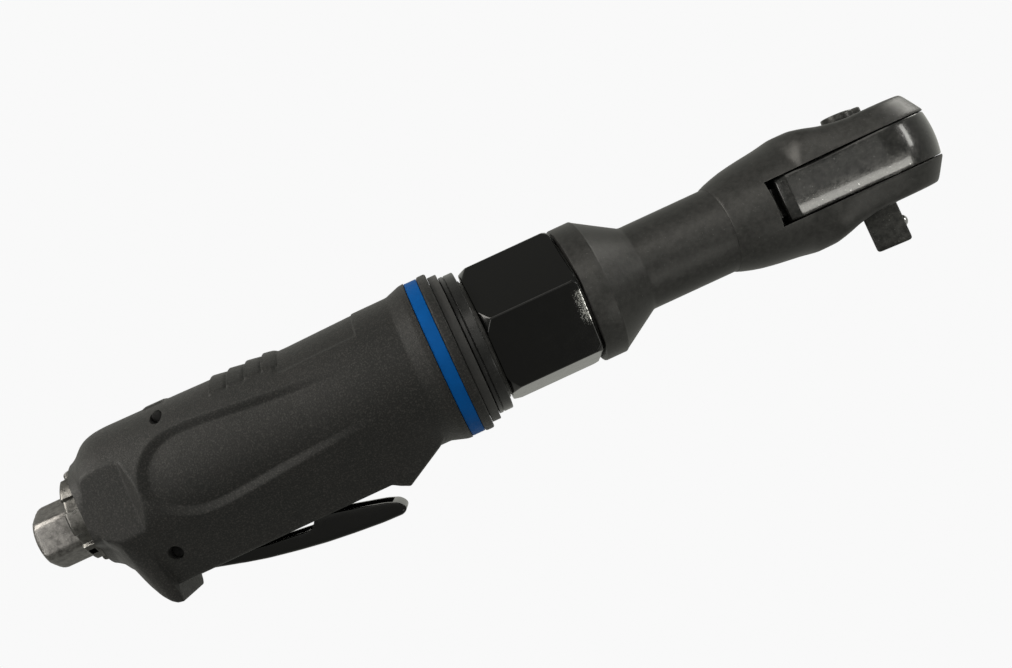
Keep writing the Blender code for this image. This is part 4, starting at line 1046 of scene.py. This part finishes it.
def head():
    """A turned body that swells into a head, which is open from side to side for the yoke."""
    angles = circle_angles(384)
    front = HEAD_RADIUS * np.sin(np.radians(np.arange(0.0, 84.1, 1.6)))
    stations = np.concatenate([np.arange(-44.0, -22.0, 0.55), np.arange(-22.0, 0.0, 0.45),
                               front[1:], [19.93, 19.97]])
    x, angle = np.meshgrid(stations, angles, indexing="ij")
    cosine, sine = np.abs(np.cos(angle)), np.abs(np.sin(angle))
    # sections go from ellipses to near rectangles as this exponent grows
    power = 2.0 + 6.0 * step(x, -24.0, -12.0) + 10.0 * step(x, -14.0, -6.0)
    high = HALF_HEIGHT(x)
    dome = step(x, -24.0, -4.0)
    # the surface is found by halving the range of the radius
    least, most = np.full(x.shape, 0.05), np.full(x.shape, 34.0)
    for _ in range(34):
        radius = (least + most) / 2
        y, z = radius * cosine, radius * sine
        ear = EAR(z)
        wide = np.where(x <= 0, HALF_WIDTH(x) - (HEAD_RADIUS - ear) * dome,
                        np.sqrt(np.maximum(ear**2 - x**2, 0.05)))
        inside = (y / np.maximum(wide, 0.05)) ** power + (z / high) ** power < 1
        least, most = np.where(inside, radius, least), np.where(inside, most, radius)
    radius = (least + most) / 2
    rows = np.concatenate([rings(HEAD_TURNING, angles), polar(x, radius, angle)])
    body = grid("ratchet_head_forging", rows, smooth=34)
    cut(
        body,
        # bores along the axis
        rod(-105.0, -96.1, 13.15),
        rod(-97.0, -61.0, 6.5, 32),
        rod(-61.3, -31.0, 8.6, 40),
        # room for the yoke's tail and the yoke
        box(-38.2, -31.0, -12.7, 12.7, -4.6, 4.6),
        box(-32.2, 30.0, -30.0, 30.0, -6.6, 6.6),
        # bores on the drive axis, with a groove near the lower face
        rod(-20.0, 0.0, 12.3, 96, "Z"),
        rod(0.0, 20.0, 7.2, 96, "Z"),
        rod(-12.95, -12.05, 13.2, 96, "Z"),
        # small hole in the -y side
        rod(-30.0, -18.7, 0.8, 24, "Y", (1.8, -9.6)),
        smooth=34,
    )
    return body


place(head(), "handle", OXIDE, "ratchet_head")


def yoke():
    """A ring with 36 inner teeth and a forked tail to the rear."""
    tooth_count, tooth_root, tooth_tip = 36, 14.3, 13.2
    arc = [(20.45 * math.cos(math.radians(degrees)), 20.45 * math.sin(math.radians(degrees)))
           for degrees in np.arange(-104, 104.1, 1.3)]
    rear = [(-26.4, 14.9), (-29.4, 13.0), (-29.7, 9.0),
            (-29.7, -9.0), (-29.4, -13.0), (-26.4, -14.9)]
    plan = dense(close_arc(arc, rear, [2.6, 1.6, 0, 0, 1.6, 2.6], 7), 0.8)
    body = slab("ratchet_yoke_forging", plan, -6.3, 6.3, edge=0.28, crown=0.6)
    teeth = []
    for k in range(tooth_count):
        for part, radius in ((0.0, tooth_tip), (0.42, tooth_root), (0.58, tooth_root)):
            angle = 2 * math.pi * (k + part) / tooth_count
            teeth.append((radius * math.cos(angle), radius * math.sin(angle)))
    combine(body, box(-36.4, -26.0, -9.6, 9.6, -4.2, 4.2), "UNION")
    cut(body, prism(teeth, -8.0, 8.0, "Z"), smooth=34)
    cut(body, box(-39.0, -28.2, -7.7, 7.7, -8.0, 8.0), smooth=34)
    return body


yoke_piece = place(yoke(), "yoke", YOKE, "ratchet_yoke")


# ------------------------------------------------------------------ valve spring
def valve_spring():
    """The coil over the valve stem, copied from the CAD."""
    node = frame["nodes"]["valve_spring"]
    coil = bpy.data.objects.new("valve_coil", node.data.copy())
    bpy.context.scene.collection.objects.link(coil)
    bpy.context.view_layer.update()
    coil.data.transform(node.matrix_world)
    shade(coil)
    return coil


coil_piece = place(valve_spring(), "handle", INNER["spring_steel"], "valve_spring")
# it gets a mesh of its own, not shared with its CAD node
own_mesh(coil_piece)

# ------------------------------------------------------------------ drive spindle, ball, reversing
TURN = Matrix.Rotation(math.radians(-26.0), 4, "Z")
BALL_RADIUS = 1.9
BALL_X = 3.8
BALL_CENTRE = (0.0, -19.3)  # y, z
SQUARE_HALF = 4.75
# (z, radius)
SPINDLE = [(-13.6, 0.5), (-13.6, 6.5), (-13.35, 6.85), (-10.9, 6.85), (-10.9, 11.45),
           (-10.65, 11.7), (5.95, 11.7), (6.2, 11.45), (6.2, 6.9), (12.6, 6.9), (12.9, 6.6),
           (12.9, 0.5)]
# (z, inset of the sides, corner radius)
SQUARE = [(-24.8, 0.75, 0.9), (-24.72, 0.45, 0.85), (-24.5, 0.2, 0.8), (-24.15, 0.05, 0.75),
          (-23.7, 0.0, 0.7), (-20.0, 0.0, 0.7), (-14.6, 0.0, 0.7), (-12.7, 0.0, 0.7)]


def spindle():
    body = revolve("drive_spindle_turning", SPINDLE, 128, "Z")
    rows = []
    for z, less, corner in SQUARE:
        half = SQUARE_HALF - less
        outline = [(-half, -half), (half, -half), (half, half), (-half, half)]
        rows.append([(x, y, z) for x, y in rounded(outline, corner, 6)])
    combine(body, grid("square", rows, smooth=34), "UNION")
    cut(
        body,
        rod(-5.0, 14.0, 3.3, 36, "Z"),
        box(2.0, 16.0, -9.3, 9.3, -4.5, 4.5),
        rod(-8.2, 7.0, 1.25, 20, "Z", (8.5, 0.0)),
        # socket of the detent ball
        rod(-3.0, 8.0, 2.05, centre=BALL_CENTRE),
        smooth=34,
    )
    body.data.transform(TURN)
    return body


place(spindle(), "spindle", DRIVE, "drive_spindle")


def detent_ball():
    profile = [(BALL_X - BALL_RADIUS * math.cos(math.pi * k / 32),
                BALL_RADIUS * math.sin(math.pi * k / 32)) for k in range(1, 32)]
    ball = revolve("detent_ball_bearing", profile, 64, centre=BALL_CENTRE)
    ball.data.transform(TURN)
    return ball


place(detent_ball(), "ball", BRIGHT, "detent_ball")


def reversing_lever():
    """A round knob with a tab, its top sloping down towards the tab, on a stem in the spindle."""
    arc = [(4.35 * math.cos(math.radians(degrees)), 4.35 * math.sin(math.radians(degrees)))
           for degrees in range(36, 325, 6)]
    tab = [(5.4, -2.7), (6.3, -1.7), (6.3, 1.7), (5.4, 2.7)]
    plan = dense(close_arc(arc, tab, [0.5] * 4, 5), 0.7)
    body = slab("reversing_lever_knob", plan, 13.6, 16.2, edge=0.4, edge_low=0.15)
    for vertex in body.data.vertices:
        if vertex.co.z / MM - AXIS > 15.0:
            vertex.co.z -= 0.082 * (vertex.co.x / MM + 4.4) * MM
    combine(body, rod(-4.7, 14.2, 3.0, 40, "Z"), "UNION")
    cross = rod(-1.8, 4.0, 1.3, 20)
    cross.data.transform(TURN)
    cut(body, cross, smooth=34)
    return body


place(reversing_lever(), "selector", DRIVE, "reverse_lever")

# ------------------------------------------------------------------ camera (metres from here on)
AXIS_HEIGHT = AXIS * MM
scene = bpy.context.scene
scene.view_settings.view_transform = "Standard"
scene.view_settings.look = "None"
roll = math.radians(24.8)
RIGHT = Vector((math.cos(roll), 0, -math.sin(roll)))
UP = Vector((math.sin(roll), 0, math.cos(roll)))
BACK = Vector((0, -1, 0))
matrix = Matrix((RIGHT, UP, BACK)).transposed().to_4x4()
matrix.translation = Vector((-0.1259, -0.257, AXIS_HEIGHT - 0.00134))
camera = bpy.data.cameras.new("camera")
camera.sensor_width = 36
camera.lens = 32.0
camera.shift_x = 0.0449
camera.shift_y = 0.02075
camera_object = bpy.data.objects.new("camera", camera)
scene.collection.objects.link(camera_object)
camera_object.matrix_world = matrix
scene.camera = camera_object

# ------------------------------------------------------------------ world and lights
PALE = (0.947, 0.947, 0.947, 1)


def build_world():
    """A pale backdrop for the camera, and a soft room that is brighter towards +y for the rest."""
    world = scene.world or bpy.data.worlds.new("studio")
    scene.world = world
    world.use_nodes = True
    tree = world.node_tree
    tree.nodes.clear()
    path = add_node(tree, "ShaderNodeLightPath")
    seen = add_node(tree, "ShaderNodeBackground", {"Color": PALE, "Strength": 1.0})
    coord = add_node(tree, "ShaderNodeTexCoord")
    split = add_node(tree, "ShaderNodeSeparateXYZ", {0: coord.outputs["Generated"]})
    behind = map_range(tree, split.outputs["Y"], over=(-0.25, 0.75), to=(0.35, 0.56))
    below = map_range(tree, split.outputs["Z"], over=(-0.7, 0.0), to=(-0.05, 0.0))
    total = add_node(tree, "ShaderNodeMath", {0: behind, 1: below})
    room = add_node(tree, "ShaderNodeBackground", {
        "Color": (0.985, 0.990, 0.905, 1), "Strength": total.outputs[0]})
    blend = add_node(tree, "ShaderNodeMixShader", {
        0: path.outputs["Is Camera Ray"], 1: room.outputs[0], 2: seen.outputs[0]})
    add_node(tree, "ShaderNodeOutputWorld", {0: blend.outputs[0]})


build_world()


def soft_light(name, location, target, size, power, colour):
    """A rectangular area light aimed at a target."""
    data = bpy.data.lights.new(name, "AREA")
    data.shape = "RECTANGLE"
    data.size, data.size_y = size
    data.energy = power
    data.color = colour
    obj = bpy.data.objects.new(name, data)
    obj.location = location
    obj.rotation_mode = "QUATERNION"
    aim = Vector(target) - Vector(location)
    obj.rotation_quaternion = aim.to_track_quat("-Z", "Y")
    scene.collection.objects.link(obj)
    return obj


CENTRE = Vector((-0.12, 0.0, AXIS_HEIGHT))
# name, location, target, (width, height), watts, colour
LIGHTS = [
    ("left_window", CENTRE - RIGHT * 0.62 + UP * 0.15 - Vector((0, 0.20, 0)), CENTRE,
     (0.25, 0.35), 3.1, (1.0, 0.965, 0.90)),
    ("top_front", CENTRE + UP * 0.40 - Vector((0, 0.50, 0)), CENTRE,
     (0.70, 0.25), 0.85, (1.0, 0.97, 0.91)),
    ("front", CENTRE + UP * 0.10 - Vector((0, 0.75, 0)), CENTRE,
     (0.60, 0.30), 0.35, (1.0, 0.99, 0.94)),
    ("low_right", (0.143, -0.39, -0.355), (-0.03, 0, AXIS_HEIGHT),
     (0.22, 0.16), 0.30, (1.0, 0.99, 0.93)),
    ("head_strip", (0.42, -0.27, 0.075), (0, 0, AXIS_HEIGHT),
     (0.06, 0.15), 0.32, (1.0, 0.99, 0.95)),
    ("left_strip", (-0.50, -0.34, 0.10), (-0.02, 0, AXIS_HEIGHT),
     (0.10, 0.22), 0.45, (1.0, 0.98, 0.94)),
    ("head_back", (0.235, 0.055, 0.165), (0.01, 0, AXIS_HEIGHT),
     (0.10, 0.10), 0.22, (1.0, 0.985, 0.93)),
]
for light in LIGHTS:
    soft_light(*light)
# a long low card whose reflection is meant for the yoke's polished side only
card = soft_light("yoke_card", (0.12, -0.52, -0.130), (0, 0, AXIS_HEIGHT),
                  size=(0.80, 0.09), power=2.0, colour=(1.0, 0.985, 0.93))
receivers = bpy.data.collections.new("yoke_card_receivers")
receivers.objects.link(yoke_piece)
card.light_linking.receiver_collection = receivers


# ------------------------------------------------------------------ backdrop
def pale_paper():
    """Glows for the camera on its front face and is clear to everything else."""
    paper = bpy.data.materials.new("pale_paper")
    paper.use_nodes = True
    tree = paper.node_tree
    tree.nodes.clear()
    glow = add_node(tree, "ShaderNodeEmission", {"Color": PALE})
    clear = add_node(tree, "ShaderNodeBsdfTransparent")
    side = add_node(tree, "ShaderNodeNewGeometry")
    path = add_node(tree, "ShaderNodeLightPath")
    one_way = add_node(tree, "ShaderNodeMixShader", {
        0: side.outputs["Backfacing"], 2: clear.outputs[0]})
    for_eye = add_node(tree, "ShaderNodeMixShader", {
        0: path.outputs["Is Camera Ray"], 1: clear.outputs[0], 2: glow.outputs[0]})
    tree.links.new(for_eye.outputs[0], one_way.inputs[1])
    add_node(tree, "ShaderNodeOutputMaterial", {0: one_way.outputs[0]})
    return paper


# an upright sheet behind the tool
sheet_mesh = bpy.data.meshes.new("pale_floor")
half_size, sheet_y = 3.0, 0.30
sheet_corners = [(-half_size, -half_size), (half_size, -half_size),
                 (half_size, half_size), (-half_size, half_size)]
sheet_mesh.from_pydata([Vector((x, sheet_y, z)) for x, z in sheet_corners], [], [(0, 1, 2, 3)])
sheet = bpy.data.objects.new("pale_floor", sheet_mesh)
scene.collection.objects.link(sheet)
sheet_mesh.materials.append(pale_paper())
